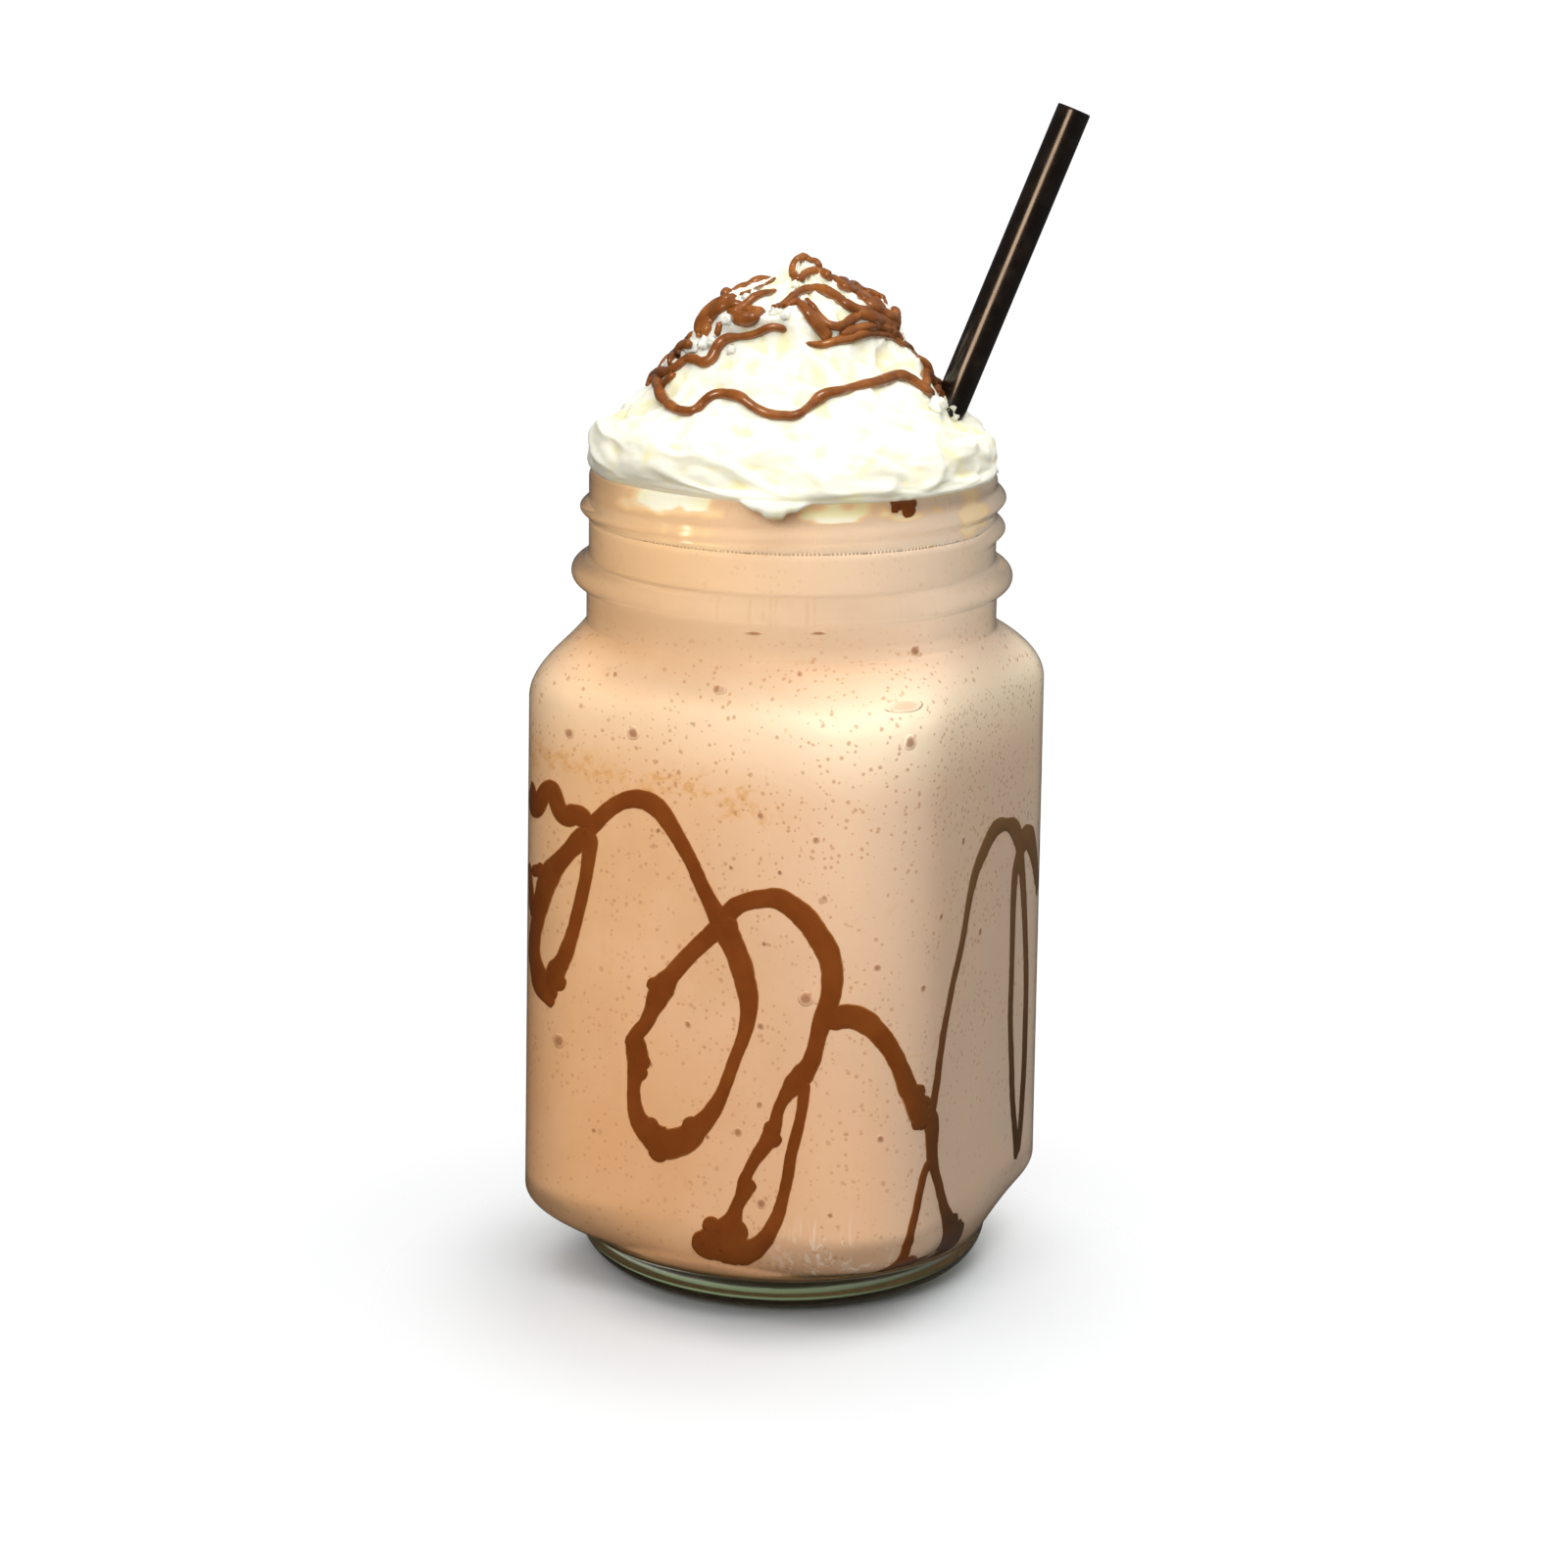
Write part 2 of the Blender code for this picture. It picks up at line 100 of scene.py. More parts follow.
# Floor: how far in front of the jar its darker ring, a painted contact shadow, and its fade are centred, in
# metres
PAINTED_SHADOW_SHIFT = 0.012
FADE_SHIFT = 0.022
STAGE_RADIUS = 0.32
STAGE_DROP = 0.0001
LAMP_AIM = 0.09              # height that the lamps point at, in metres

# Straw
STRAW_RADIUS = 2.8
STRAW_WALL = 0.3
STRAW_FOOT = Vector((-21.9, -15.8, 13.0))
STRAW_TIP = Vector((36.7, 27.4, 193.0))
STRAW_AROUND = 64

# Drink and cream
REACH = 0.15                 # how far the contents reach into the glass
SWIRL_LIFT = 0.05            # sauce lines stand on the drink by this
SWIRL_THICK = 0.15           # and this is half their thickness
SIDE_SLIM = 0.22             # how much slimmer they are on the right face, where their thickness shows too
SIDE_START = 850.0           # pixel where the right face begins
SIDE_RUN = 110.0             # and pixels over which the lines become slimmer
DRINK_TOP = 127.0
LIP_RADIUS = 33.2
TONGUE_AZIMUTH = -71.0
TONGUE_HALF_ANGLE = 10.0
TONGUE_DROP = 2.5
TONGUE_THICK = 1.9
BARE_AZIMUTH = -104.0
BARE_HALF_ANGLE = 30.0
BARE_INSET = 1.7
MOUND_PROFILE = [
    (33.3, 135.5), (33.6, 137.0), (32.8, 140.6), (30.6, 143.4), (27.4, 146.0),
    (24.2, 148.8), (21.9, 152.2), (19.2, 155.2), (17.0, 158.2), (16.0, 161.4),
    (13.6, 164.0), (9.4, 165.4), (5.2, 167.0), (2.4, 169.2), (0.0, 170.4),
]
MOUND_LEAN_AZIMUTH = 24.0
MOUND_LEAN = 1.0
LUMP_DEPTH = 0.9
FOLD_DEPTH = 0.55
FOLDS = 4
CREAM_INSET = 0.35           # takes back what the fine relief adds on the whole
STRAW_DENT = (20.0, 22.0, 0.27, 0.10, 2.6)
DRIZZLE_BED = 0.9            # the upper tier stands back by this, so the drizzle makes the outline
CREAM_AROUND = 320
CREAM_ROWS = 190
FOLD_ROUNDS = 50             # rounds of smoothing that tell folds from the shape they lie on
FOLD_GAIN = 1.6              # share of the painted fold shade for each millimetre of depth
SEAM_AZIMUTH = 245.0         # where the creases' pattern meets itself, out of sight
MELT_LEVEL = 134.4           # below this height drink has risen between cream and glass
BIT_ROWS = 9
BIT_AROUND = 14

# Sauce and spots: mesh sizes, and pixels to a millimetre, an upright one and a degree of the neck
STRAND_STEP = 0.4
BACK_STEPS = 160
DRIZZLE_SIDES = 14
SWIRL_SIDES = 16
SPOT_SHARES = (0.35, 0.65, 0.85, 1.0)
SPOT_AROUND = 20
PIXELS_PER_MM = 6.2
PIXELS_PER_UPRIGHT_MM = 6.1
PIXELS_PER_DEGREE = 3.6
HALF_TURN = (-1.0, -1.0, 1.0)

# Sockets of a mix node that hold the factor and the two colours, and the one with the mixed colour
COLOUR_MIX_SOCKETS = (0, 6, 7)
COLOUR_MIX_RESULT = 2

# Drink: where the streaks start (minus x, z) and how they fall, and the middle of the mould marks
STREAK_START = (0.028, 0.0905)
STREAK_FALL = 0.09
WRINKLE_CENTRE = (0.0225, -0.0290, 0.0115)

# Small lumps of cream: centre and radius, in pixels
CREAM_BITS = [
    (960, 404, 10), (965, 414, 11), (955, 414, 9), (972, 423, 7), (708, 354, 8), (719, 351, 7),
    (727, 349, 6), (691, 371, 5), (744, 326, 6), (752, 322, 5), (792, 318, 6), (801, 322, 5),
    (763, 304, 5), (771, 300, 5), (747, 357, 5), (812, 291, 4),
]

# Drizzle on the cream: pixels that each strand runs through, and its width there
DRIZZLE = [
    [(672, 386, 11), (673, 397, 11), (677, 407, 11), (684, 415, 10), (694, 420, 10), (705, 421, 10),
     (714, 417, 10), (722, 409, 11), (731, 404, 11), (741, 403, 11), (751, 405, 12), (761, 410, 10),
     (771, 417, 9), (783, 423, 10), (796, 425, 10), (809, 425, 10), (819, 421, 9), (829, 413, 9),
     (838, 405, 12), (847, 401, 11), (860, 399, 9), (872, 396, 9), (884, 393, 10), (897, 390, 11),
     (910, 386, 12), (920, 384, 11), (930, 388, 10), (938, 394, 10), (945, 400, 12), (950, 402, 8)],
    [(661, 394, 5), (662, 387, 7), (666, 382, 9), (674, 380, 10), (684, 379, 9), (692, 375, 9),
     (698, 369, 10), (705, 366, 10), (712, 369, 10), (720, 371, 11), (727, 367, 11), (731, 358, 11),
     (736, 350, 12), (744, 345, 9), (754, 344, 7), (764, 343, 7), (774, 340, 8), (784, 335, 8),
     (793, 334, 8), (803, 337, 8)],
    [(690, 381, 7), (683, 388, 8), (677, 396, 7)],
    [(686, 370, 10), (690, 361, 11), (697, 354, 11), (707, 350, 9)],
    [(714, 345, 6), (714, 334, 8), (717, 324, 8), (723, 316, 8), (732, 309, 8), (742, 305, 8),
     (752, 302, 5)],
    [(722, 343, 13), (722, 333, 16), (726, 324, 17), (734, 317, 15), (744, 313, 9), (753, 311, 8),
     (762, 315, 8), (772, 318, 8), (781, 317, 6)],
    [(732, 344, 7), (734, 336, 7), (736, 328, 7)],
    [(716, 343, 13), (718, 334, 19), (723, 325, 20), (731, 317, 16), (741, 311, 11), (752, 309, 8)],
    [(746, 324, 12), (756, 325, 15), (766, 325, 14), (776, 320, 10)],
    [(742, 317, 6), (750, 318, 8), (760, 313, 9), (768, 306, 9), (776, 301, 8), (785, 299, 6),
     (793, 296, 3)],
    [(748, 326, 7), (756, 326, 11), (765, 326, 12), (773, 322, 10), (780, 316, 6)],
    [(754, 301, 4), (764, 298, 4), (774, 294, 4), (783, 290, 4), (792, 283, 3)],
    [(840, 273, 6), (835, 266, 7), (827, 262, 8), (819, 262, 8), (812, 267, 8), (809, 276, 8),
     (811, 284, 8), (816, 286, 8), (820, 281, 8), (828, 277, 8), (837, 277, 8), (846, 282, 9),
     (856, 289, 9), (866, 295, 9), (875, 301, 10), (884, 309, 10)],
    [(788, 313, 4), (798, 312, 7), (806, 307, 9), (814, 300, 9), (823, 296, 9), (833, 295, 9),
     (843, 297, 10), (851, 302, 10), (858, 308, 10), (867, 313, 10), (877, 317, 10), (887, 319, 10)],
    [(800, 314, 4), (808, 310, 7), (816, 308, 8)],
    [(815, 309, 8), (821, 316, 10), (827, 323, 11), (833, 331, 12), (840, 339, 12), (848, 346, 10)],
    [(823, 306, 5), (829, 313, 6), (836, 322, 6), (844, 330, 7), (854, 333, 8), (863, 330, 9),
     (870, 325, 9), (879, 321, 9)],
    [(822, 350, 3), (830, 352, 6), (840, 352, 8), (852, 349, 9), (864, 346, 10), (876, 342, 9),
     (887, 341, 7), (898, 342, 7), (909, 344, 7), (918, 351, 6), (926, 353, 4)],
    [(856, 341, 8), (868, 338, 10), (880, 334, 9), (893, 333, 8), (905, 336, 8), (914, 341, 8),
     (920, 350, 7)],
    [(872, 318, 10), (884, 322, 13), (896, 327, 15), (908, 332, 14), (917, 339, 8)],
    [(884, 307, 9), (891, 314, 12), (900, 320, 12), (909, 325, 12), (916, 333, 9)],
    [(861, 291, 5), (872, 290, 7), (883, 288, 6), (893, 290, 8), (900, 295, 8), (904, 300, 5)],
    [(904, 298, 4), (908, 305, 4), (906, 312, 3)],
    [(866, 294, 8), (876, 298, 8), (885, 304, 8), (893, 311, 8)],
    [(881, 295, 5), (889, 300, 6), (895, 308, 7), (901, 316, 8)],
    [(922, 350, 5), (929, 354, 4), (936, 359, 3), (942, 366, 6), (947, 375, 9), (952, 384, 9), (957, 391, 9),
     (955, 399, 8)],
]
# Behind: start and end azimuth, share of the way up, swing, waves, width
BACK_DRIZZLE = [
    (-2.0, 198.0, 0.37, 0.045, 3.5, 2.0),
    (6.0, 196.0, 0.56, 0.060, 3.0, 2.1),
    (34.0, 196.0, 0.76, 0.050, 2.0, 1.8),
]

# Chocolate swirls inside the glass: pixels that each line runs through, and its width there
SWIRLS = [
    [(541, 797, 7), (544, 813, 10), (548, 826, 11), (553, 815, 13), (558, 806, 15), (564, 805, 17),
     (568, 817, 16), (573, 830, 17), (581, 834, 20), (588, 830, 19), (594, 834, 20), (600, 844, 22)],
    [(596, 852, 18), (607, 840, 17), (620, 827, 17), (634, 818, 17), (648, 815, 19), (662, 818, 20),
     (674, 827, 19), (683, 840, 17), (691, 853, 16), (699, 867, 15), (707, 882, 14), (715, 901, 15),
     (724, 919, 16), (732, 934, 20), (739, 947, 24), (747, 962, 23), (755, 981, 23), (760, 1000, 22),
     (764, 1020, 20), (763, 1040, 16), (758, 1060, 14), (750, 1080, 13), (743, 1100, 13),
     (735, 1120, 14), (724, 1138, 19), (712, 1151, 23), (702, 1161, 29), (690, 1166, 29),
     (678, 1167, 33), (667, 1160, 28), (657, 1150, 22), (650, 1138, 17), (647, 1122, 14),
     (647, 1106, 14), (649, 1095, 19), (651, 1081, 22), (649, 1067, 21), (650, 1055, 16),
     (658, 1046, 15), (664, 1034, 16), (670, 1020, 22), (677, 1006, 26), (686, 994, 18),
     (700, 978, 18), (712, 966, 18), (724, 955, 19), (736, 944, 22)],
    [(664, 1003, 9), (668, 1002, 13), (672, 1006, 10)],
    [(736, 944, 20), (748, 927, 19), (762, 920, 18), (778, 917, 19), (794, 917, 21), (808, 925, 23),
     (823, 938, 24), (835, 955, 24), (844, 970, 24), (849, 988, 23), (849, 1005, 22), (847, 1020, 20),
     (841, 1036, 20), (836, 1053, 18), (832, 1070, 17), (827, 1085, 19), (818, 1098, 23),
     (810, 1107, 22), (801, 1119, 14), (794, 1133, 12), (791, 1148, 14), (786, 1160, 18),
     (779, 1171, 16), (771, 1182, 13), (765, 1193, 12), (761, 1202, 13), (761, 1211, 18),
     (757, 1221, 15), (752, 1231, 13), (749, 1242, 18), (745, 1253, 30), (737, 1265, 42), (735, 1277, 26)],
    [(743, 936, 12), (749, 945, 10), (748, 955, 8)],
    [(820, 1102, 14), (820, 1118, 12), (817, 1140, 11), (812, 1160, 12), (807, 1180, 12), (804, 1200, 12),
     (799, 1222, 12), (794, 1240, 14), (788, 1252, 15), (781, 1264, 18), (770, 1274, 22),
     (756, 1278, 26), (742, 1278, 24)],
    [(723, 1250, 12), (727, 1252, 17), (732, 1256, 16)],
    [(709, 1273, 6), (714, 1273, 20), (722, 1270, 32), (732, 1268, 38), (742, 1270, 38), (752, 1272, 36),
     (760, 1276, 26)],
    [(840, 1046, 22), (853, 1039, 25), (868, 1037, 25), (882, 1042, 26), (894, 1052, 24), (905, 1065, 23),
     (914, 1080, 22), (921, 1096, 22), (926, 1110, 24), (933, 1124, 25), (939, 1138, 27), (944, 1149, 22)],
    [(934, 1108, 8), (938, 1114, 12), (942, 1122, 8)],
    [(948, 1136, 22), (951, 1150, 18), (951, 1165, 15), (951, 1178, 14), (954, 1195, 10), (958, 1210, 9),
     (962, 1228, 9), (966, 1243, 11), (969, 1254, 14), (971, 1263, 16)],
    [(972, 1258, 6), (972, 1266, 12), (966, 1277, 14), (955, 1287, 16), (940, 1294, 17), (925, 1298, 18),
     (912, 1300, 17), (903, 1301, 10)],
    [(949, 1184, 10), (943, 1197, 9), (938, 1218, 9), (934, 1238, 9), (929, 1258, 9), (924, 1276, 10),
     (917, 1288, 13), (911, 1297, 16)],
    [(950, 1150, 12), (951, 1133, 10), (955, 1110, 9), (959, 1080, 8), (963, 1052, 8), (968, 1026, 7),
     (973, 1000, 7), (979, 975, 7), (983, 955, 7), (987, 930, 7), (991, 908, 8), (997, 885, 9),
     (1005, 866, 10), (1012, 851, 10), (1019, 843, 12), (1029, 841, 15), (1036, 847, 12),
     (1040, 860, 10), (1042, 880, 8), (1044, 905, 7), (1046, 950, 6), (1047, 1000, 6), (1046, 1050, 6),
     (1045, 1085, 6), (1043, 1120, 6), (1041, 1150, 6), (1038, 1178, 6)],
    [(1037, 1182, 6), (1036, 1160, 6), (1033, 1120, 6), (1032, 1080, 6), (1031, 1040, 6), (1032, 1000, 6),
     (1033, 960, 6), (1034, 920, 7), (1036, 890, 8), (1040, 872, 9), (1045, 856, 13), (1049, 851, 14),
     (1053, 863, 10), (1056, 880, 7), (1058, 900, 5), (1059, 914, 4)],
    [(601, 848, 24), (589, 860, 20), (576, 874, 18), (564, 889, 20), (557, 905, 18), (553, 920, 15),
     (549, 938, 12), (546, 958, 11), (546, 975, 12), (549, 990, 15), (553, 1002, 19), (557, 1012, 16),
     (561, 1021, 11), (562, 1028, 7)],
    [(548, 884, 6), (552, 888, 11), (555, 896, 10)],
    [(602, 848, 18), (602, 865, 15), (600, 880, 14), (597, 900, 13), (592, 922, 13), (587, 943, 13),
     (581, 963, 14), (575, 979, 16), (568, 991, 20), (563, 1002, 22)],
    [(541, 880, 4), (542, 905, 5), (544, 925, 7), (547, 940, 8)],
]

# Round bulges along the swirls: centre and radius, in pixels
SWIRL_DROPS = [
    (664, 1149, 9), (688, 1159, 8), (706, 1149, 10), (672, 1176, 10), (655, 1083, 9), (652, 1094, 9),
    (647, 1063, 9), (650, 1068, 10), (668, 1005, 8), (670, 1022, 10), (549, 888, 6), (568, 1001, 10),
    (561, 1012, 8), (727, 1251, 10), (722, 1270, 15), (738, 1268, 20), (749, 1256, 15), (753, 1274, 16),
    (788, 1152, 9), (789, 1162, 9), (764, 1210, 8), (936, 1113, 8), (941, 1124, 8), (938, 1146, 8),
    (974, 1256, 6), (972, 1266, 8), (747, 946, 6), (585, 829, 9), (563, 806, 9),
]

# Brown spots in the drink: centre and radius, in pixels
SPOTS = [
    (646, 748, 7), (581, 748, 6), (732, 703, 5), (933, 664, 6), (929, 758, 7), (822, 1019, 8),
    (570, 1062, 8), (895, 987, 4), (753, 1155, 5), (702, 1045, 4), (776, 1047, 4), (777, 1228, 6),
    (898, 1162, 4), (983, 858, 5), (664, 1086, 3), (833, 857, 4), (816, 688, 3), (628, 688, 3),
    (776, 832, 4), (672, 847, 3), (796, 890, 3), (746, 885, 3), (780, 963, 3), (942, 1008, 4),
    (1000, 950, 5), (960, 935, 4), (847, 1240, 3), (606, 1153, 3), (775, 1127, 4), (722, 1160, 3),
]
# Flat shapes: centre, half width and half height in pixels, and how pale
FLAT_SPOTS = [
    (923, 720, 23, 7, 1.0), (769, 646, 9, 2, 0.0), (835, 646, 8, 2, 0.0),
    (735, 704, 7, 5, 0.6),
]
# Spots of sauce behind the rim: azimuth in degrees, height and width in millimetres
RIM_SPOTS = [
    [(-37.5, 134.2, 1.4), (-34.0, 134.3, 2.2), (-30.5, 134.3, 2.2), (-27.0, 134.2, 1.4)],
    [(-36.0, 134.1, 1.6), (-35.4, 133.4, 2.0), (-35.0, 132.9, 1.4)],
    [(-30.6, 134.1, 2.4), (-31.0, 133.2, 2.8), (-31.6, 132.3, 2.0), (-32.0, 131.8, 1.0)],
    [(-26.0, 134.3, 0.5), (-24.5, 134.3, 0.7), (-23.0, 134.3, 0.4)],
    [(-12.0, 134.3, 0.5), (-10.5, 134.3, 0.6), (-9.0, 134.3, 0.4)],
]
# Pale smears in the neck: centre, half width and half height, strength
NECK_PATCHES = [
    (722, 548, 42, 8, 0.8), (870, 527, 46, 9, 0.9), (750, 500, 55, 10, 0.65), (940, 526, 55, 8, 0.5),
    (995, 535, 30, 30, 0.5), (950, 563, 25, 6, 0.5), (660, 500, 55, 10, 0.5), (700, 520, 55, 7, 0.42),
    (640, 515, 35, 7, 0.35), (715, 561, 36, 3, 0.4),
]


def smooth_step(value):
    """Ease from 0 to 1."""
    value = min(max(value, 0.0), 1.0)
    return value * value * (3.0 - 2.0 * value)


def angle_from(azimuth, centre):
    """Smallest angle between two azimuths, in degrees."""
    return abs((azimuth - centre + 180.0) % 360.0 - 180.0)


def bare_share(azimuth):
    """How much of the cream is missing at an azimuth of the rim."""
    return smooth_step(1.0 - angle_from(azimuth, BARE_AZIMUTH) / BARE_HALF_ANGLE)


def turns(count):
    """Evenly spaced angles of a full turn."""
    return [TURN * i / count for i in range(count)]


def on_circle(turn, radius, height):
    """The point at an angle, a radius and a height."""
    return (radius * math.cos(turn), radius * math.sin(turn), height)


# Camera and pixel rays

SIDEWAYS = Vector((math.cos(VIEW_AZIMUTH), math.sin(VIEW_AZIMUTH), 0.0))
AWAY = Vector((-math.sin(VIEW_AZIMUTH), math.cos(VIEW_AZIMUTH), 0.0))
UPWARD = Vector((0.0, 0.0, 1.0))
LOOK = AWAY * math.cos(VIEW_PITCH) - UPWARD * math.sin(VIEW_PITCH)
OVER = AWAY * math.sin(VIEW_PITCH) + UPWARD * math.cos(VIEW_PITCH)
EYE = SIDEWAYS * VIEW_SIDE - AWAY * VIEW_DISTANCE + UPWARD * VIEW_HEIGHT


def make_camera():
    """The camera at the photograph's place."""
    data = bpy.data.cameras.new("camera")
    data.sensor_width = SENSOR
    data.lens = FOCAL / IMAGE * SENSOR
    data.clip_start = 0.01
    camera = bpy.data.objects.new("camera", data)
    bpy.context.scene.collection.objects.link(camera)
    right = SIDEWAYS * math.cos(VIEW_ROLL) + OVER * math.sin(VIEW_ROLL)
    up = OVER * math.cos(VIEW_ROLL) - SIDEWAYS * math.sin(VIEW_ROLL)
    turn = Matrix((right, up, -LOOK)).transposed().to_4x4()
    camera.matrix_world = Matrix.Translation(EYE * MM) @ turn
    bpy.context.scene.camera = camera


def pixel_ray(x, y):
    """Direction from the camera through a pixel of the photograph."""
    across = x - IMAGE / 2
    down = y - IMAGE / 2
    u = across * math.cos(VIEW_ROLL) + down * math.sin(VIEW_ROLL)
    v = down * math.cos(VIEW_ROLL) - across * math.sin(VIEW_ROLL)
    return (LOOK * FOCAL + SIDEWAYS * u - OVER * v).normalized()


def bend_into_glass(direction, normal, index=1.5):
    """The direction of a ray after it enters glass."""
    cosine = -direction.dot(normal)
    inside = 1.0 - (1.0 - cosine ** 2) / index ** 2
    return (direction / index + normal * (cosine / index - math.sqrt(inside))).normalized()


def nearest_to_ray(tree, direction):
    """The point of a surface that a ray passes closest to."""
    best = None
    for far in range(*RAY_SEARCH):
        spot, normal, _, gap = tree.find_nearest(EYE + direction * float(far))
        if best is None or gap < best[2]:
            best = (spot, normal, gap)
    return best[0], best[1]


def cast_on(tree, x, y, glass=None):
    """Point and normal of the surface that a pixel shows, through the glass if that is given."""
    start = EYE
    direction = pixel_ray(x, y)
    if glass:
        spot, normal, _, _ = glass.ray_cast(start, direction)
        if spot is None:
            spot, normal = nearest_to_ray(glass, direction)
            spot, normal, _, _ = tree.find_nearest(spot)
            return spot, normal
        start = spot - normal * 0.01
        direction = bend_into_glass(direction, normal)
    spot, normal, _, _ = tree.ray_cast(start, direction)
    if spot is None:
        if glass:
            spot, normal, _, _ = tree.find_nearest(start)
        else:
            spot, normal = nearest_to_ray(tree, direction)
    return spot, normal


# Mesh helpers

def add_mesh(name, points, faces, material):
    """Make an object from points in millimetres and faces."""
    mesh = bpy.data.meshes.new(name)
    mesh.from_pydata((np.asarray(points) * MM).tolist(), [], faces)
    work = bmesh.new()
    work.from_mesh(mesh)
    bmesh.ops.recalc_face_normals(work, faces=work.faces)
    work.to_mesh(mesh)
    work.free()
    mesh.shade_smooth()
    mesh.materials.append(material)
    thing = bpy.data.objects.new(name, mesh)
    bpy.context.scene.collection.objects.link(thing)
    return thing


def grid_faces(rows, count, first=0, close=True):
    """Faces of a tube of rings, with both ends closed."""
    faces = []
    for row in range(rows - 1):
        low = first + row * count
        for i in range(count):
            j = (i + 1) % count
            faces.append((low + i, low + j, low + count + j, low + count + i))
    if close:
        faces.append(tuple(first + i for i in reversed(range(count))))
        faces.append(tuple(first + (rows - 1) * count + i for i in range(count)))
    return faces


def add_value(thing, name, values):
    """Store one number for each point, which a material reads."""
    layer = thing.data.attributes.new(name, "FLOAT", "POINT")
    layer.data.foreach_set("value", np.asarray(values, dtype=np.float32))


def tree_of(thing):
    """Search tree of an object's mesh, in millimetres."""
    points = [vertex.co / MM for vertex in thing.data.vertices]
    faces = [tuple(face.vertices) for face in thing.data.polygons]
    return BVHTree.FromPolygons(points, faces)


def spline(before, start, end, after, part):
    """A point of a smooth curve between two of its knots."""
    bend = (2.0 * before - 5.0 * start + 4.0 * end - after) * part ** 2
    twist = (3.0 * start - before - 3.0 * end + after) * part ** 3
    return 0.5 * (2.0 * start + (end - before) * part + bend + twist)


def spaced(path, step, fewest, *others):
    """A path with evenly spaced points, and other values along it read at the same places."""
    run = np.concatenate([[0.0], np.cumsum(np.linalg.norm(np.diff(path, axis=0), axis=1))])
    places = np.linspace(0.0, run[-1], max(int(run[-1] / step), fewest) + 1)
    return [np.stack([np.interp(places, run, column) for column in values.T], axis=1)
            for values in (path, *others)]


def curve_through(points, step):
    """A smooth curve through a list of points, as points a given distance apart."""
    spots = np.array(points, dtype=float)
    spots = np.vstack([2.0 * spots[0] - spots[1], spots, 2.0 * spots[-1] - spots[-2]])
    dense = []
    for knot in range(1, len(spots) - 2):
        dense += [spline(*spots[knot - 1:knot + 3], part) for part in np.arange(0.0, 1.0, 0.02)]
    return spaced(np.array(dense + [spots[-2]]), step, 2)[0]


def soften_line(values, rounds):
    """Average each value with its neighbours a few times, ends kept."""
    values = values.copy()
    for _ in range(rounds):
        values[1:-1] = 0.25 * values[:-2] + 0.5 * values[1:-1] + 0.25 * values[2:]
    return values


def unit(vectors):
    """The same directions with length 1."""
    return vectors / (np.linalg.norm(vectors, axis=1)[:, None] + 1e-9)


def sideways(path, normals):
    """Directions across a path that lies on a surface."""
    return unit(np.cross(unit(np.gradient(path, axis=0)), normals))


def arrays_of(hits):
    """Points and normals of a list of hits on a surface."""
    return np.array([tuple(hit[0]) for hit in hits]), np.array([tuple(hit[1]) for hit in hits])


# Jar

def square_radius(azimuth, half, corner):
    """Distance from the centre to a rounded square's outline."""
    turn = np.abs((azimuth + math.pi / 4.0) % (math.pi / 2.0) - math.pi / 4.0)
    straight = half - corner
    reach = straight * (np.cos(turn) + np.sin(turn))
    reach = reach + np.sqrt(np.maximum(corner ** 2 - straight ** 2 * (1.0 - np.sin(2.0 * turn)), 0.0))
    return np.where(half * np.tan(turn) <= straight, half / np.cos(turn), reach)


def body_rows(azimuth, inset, heel_radius, heel_top, wall_bottom, neck_radius):
    """Heights and radii of the square body from heel to neck, set in by a wall thickness."""
    corner = CORNER_RADIUS - inset
    low = square_radius(azimuth, HALF_WIDTH_BOTTOM - inset, corner)
    high = square_radius(azimuth, HALF_WIDTH_TOP - inset, corner)
    rows = []
    for share in np.linspace(0.0, 1.0, 15)[1:]:
        squareness = math.sin(share * math.pi / 2.0) ** 0.86
        rows.append((heel_top + (wall_bottom - heel_top) * share,
                     heel_radius + (low - heel_radius) * squareness))
    for share in np.linspace(0.0, 1.0, 25)[1:]:
        rows.append((wall_bottom + (WALL_TOP - wall_bottom) * share, low + (high - low) * share))
    for share in np.linspace(0.0, 1.0, 25)[1:]:
        rows.append((WALL_TOP + (SHOULDER_TOP - WALL_TOP) * share,
                     neck_radius + (high - neck_radius) * (1.0 - share ** 2)))
    return rows


def thread_rise(azimuth, height):
    """How far the screw thread stands out at a place on the neck."""
    rise = np.zeros_like(azimuth)
    for turn in (0, 1):
        run = (np.degrees(azimuth) - THREAD_START) % 360.0 + 360.0 * turn
        middle = THREAD_START_HEIGHT + THREAD_PITCH * run / 360.0
        offset = np.clip((height - middle) / THREAD_HALF, -1.0, 1.0)
        fade = np.clip(np.minimum(run, THREAD_TURN - run) / THREAD_FADE, 0.0, 1.0)
        fade = fade * fade * (3.0 - 2.0 * fade)
        rise = np.maximum(rise, THREAD_DEPTH * fade * np.cos(offset * math.pi / 2.0) ** 1.3)
    return rise


def neck_radius_at(azimuth, height):
    """Outer radius of the neck with its bead and thread."""
    radius = NECK_RADIUS if height < BEAD_HEIGHT else FINISH_RADIUS
    offset = (height - BEAD_HEIGHT) / BEAD_HALF
    if abs(offset) < 1.0:
        bulge = (BEAD_RADIUS - FINISH_RADIUS) * math.sqrt(1.0 - offset ** 2)
        radius = max(radius, FINISH_RADIUS + bulge)
    return radius + thread_rise(azimuth, height)


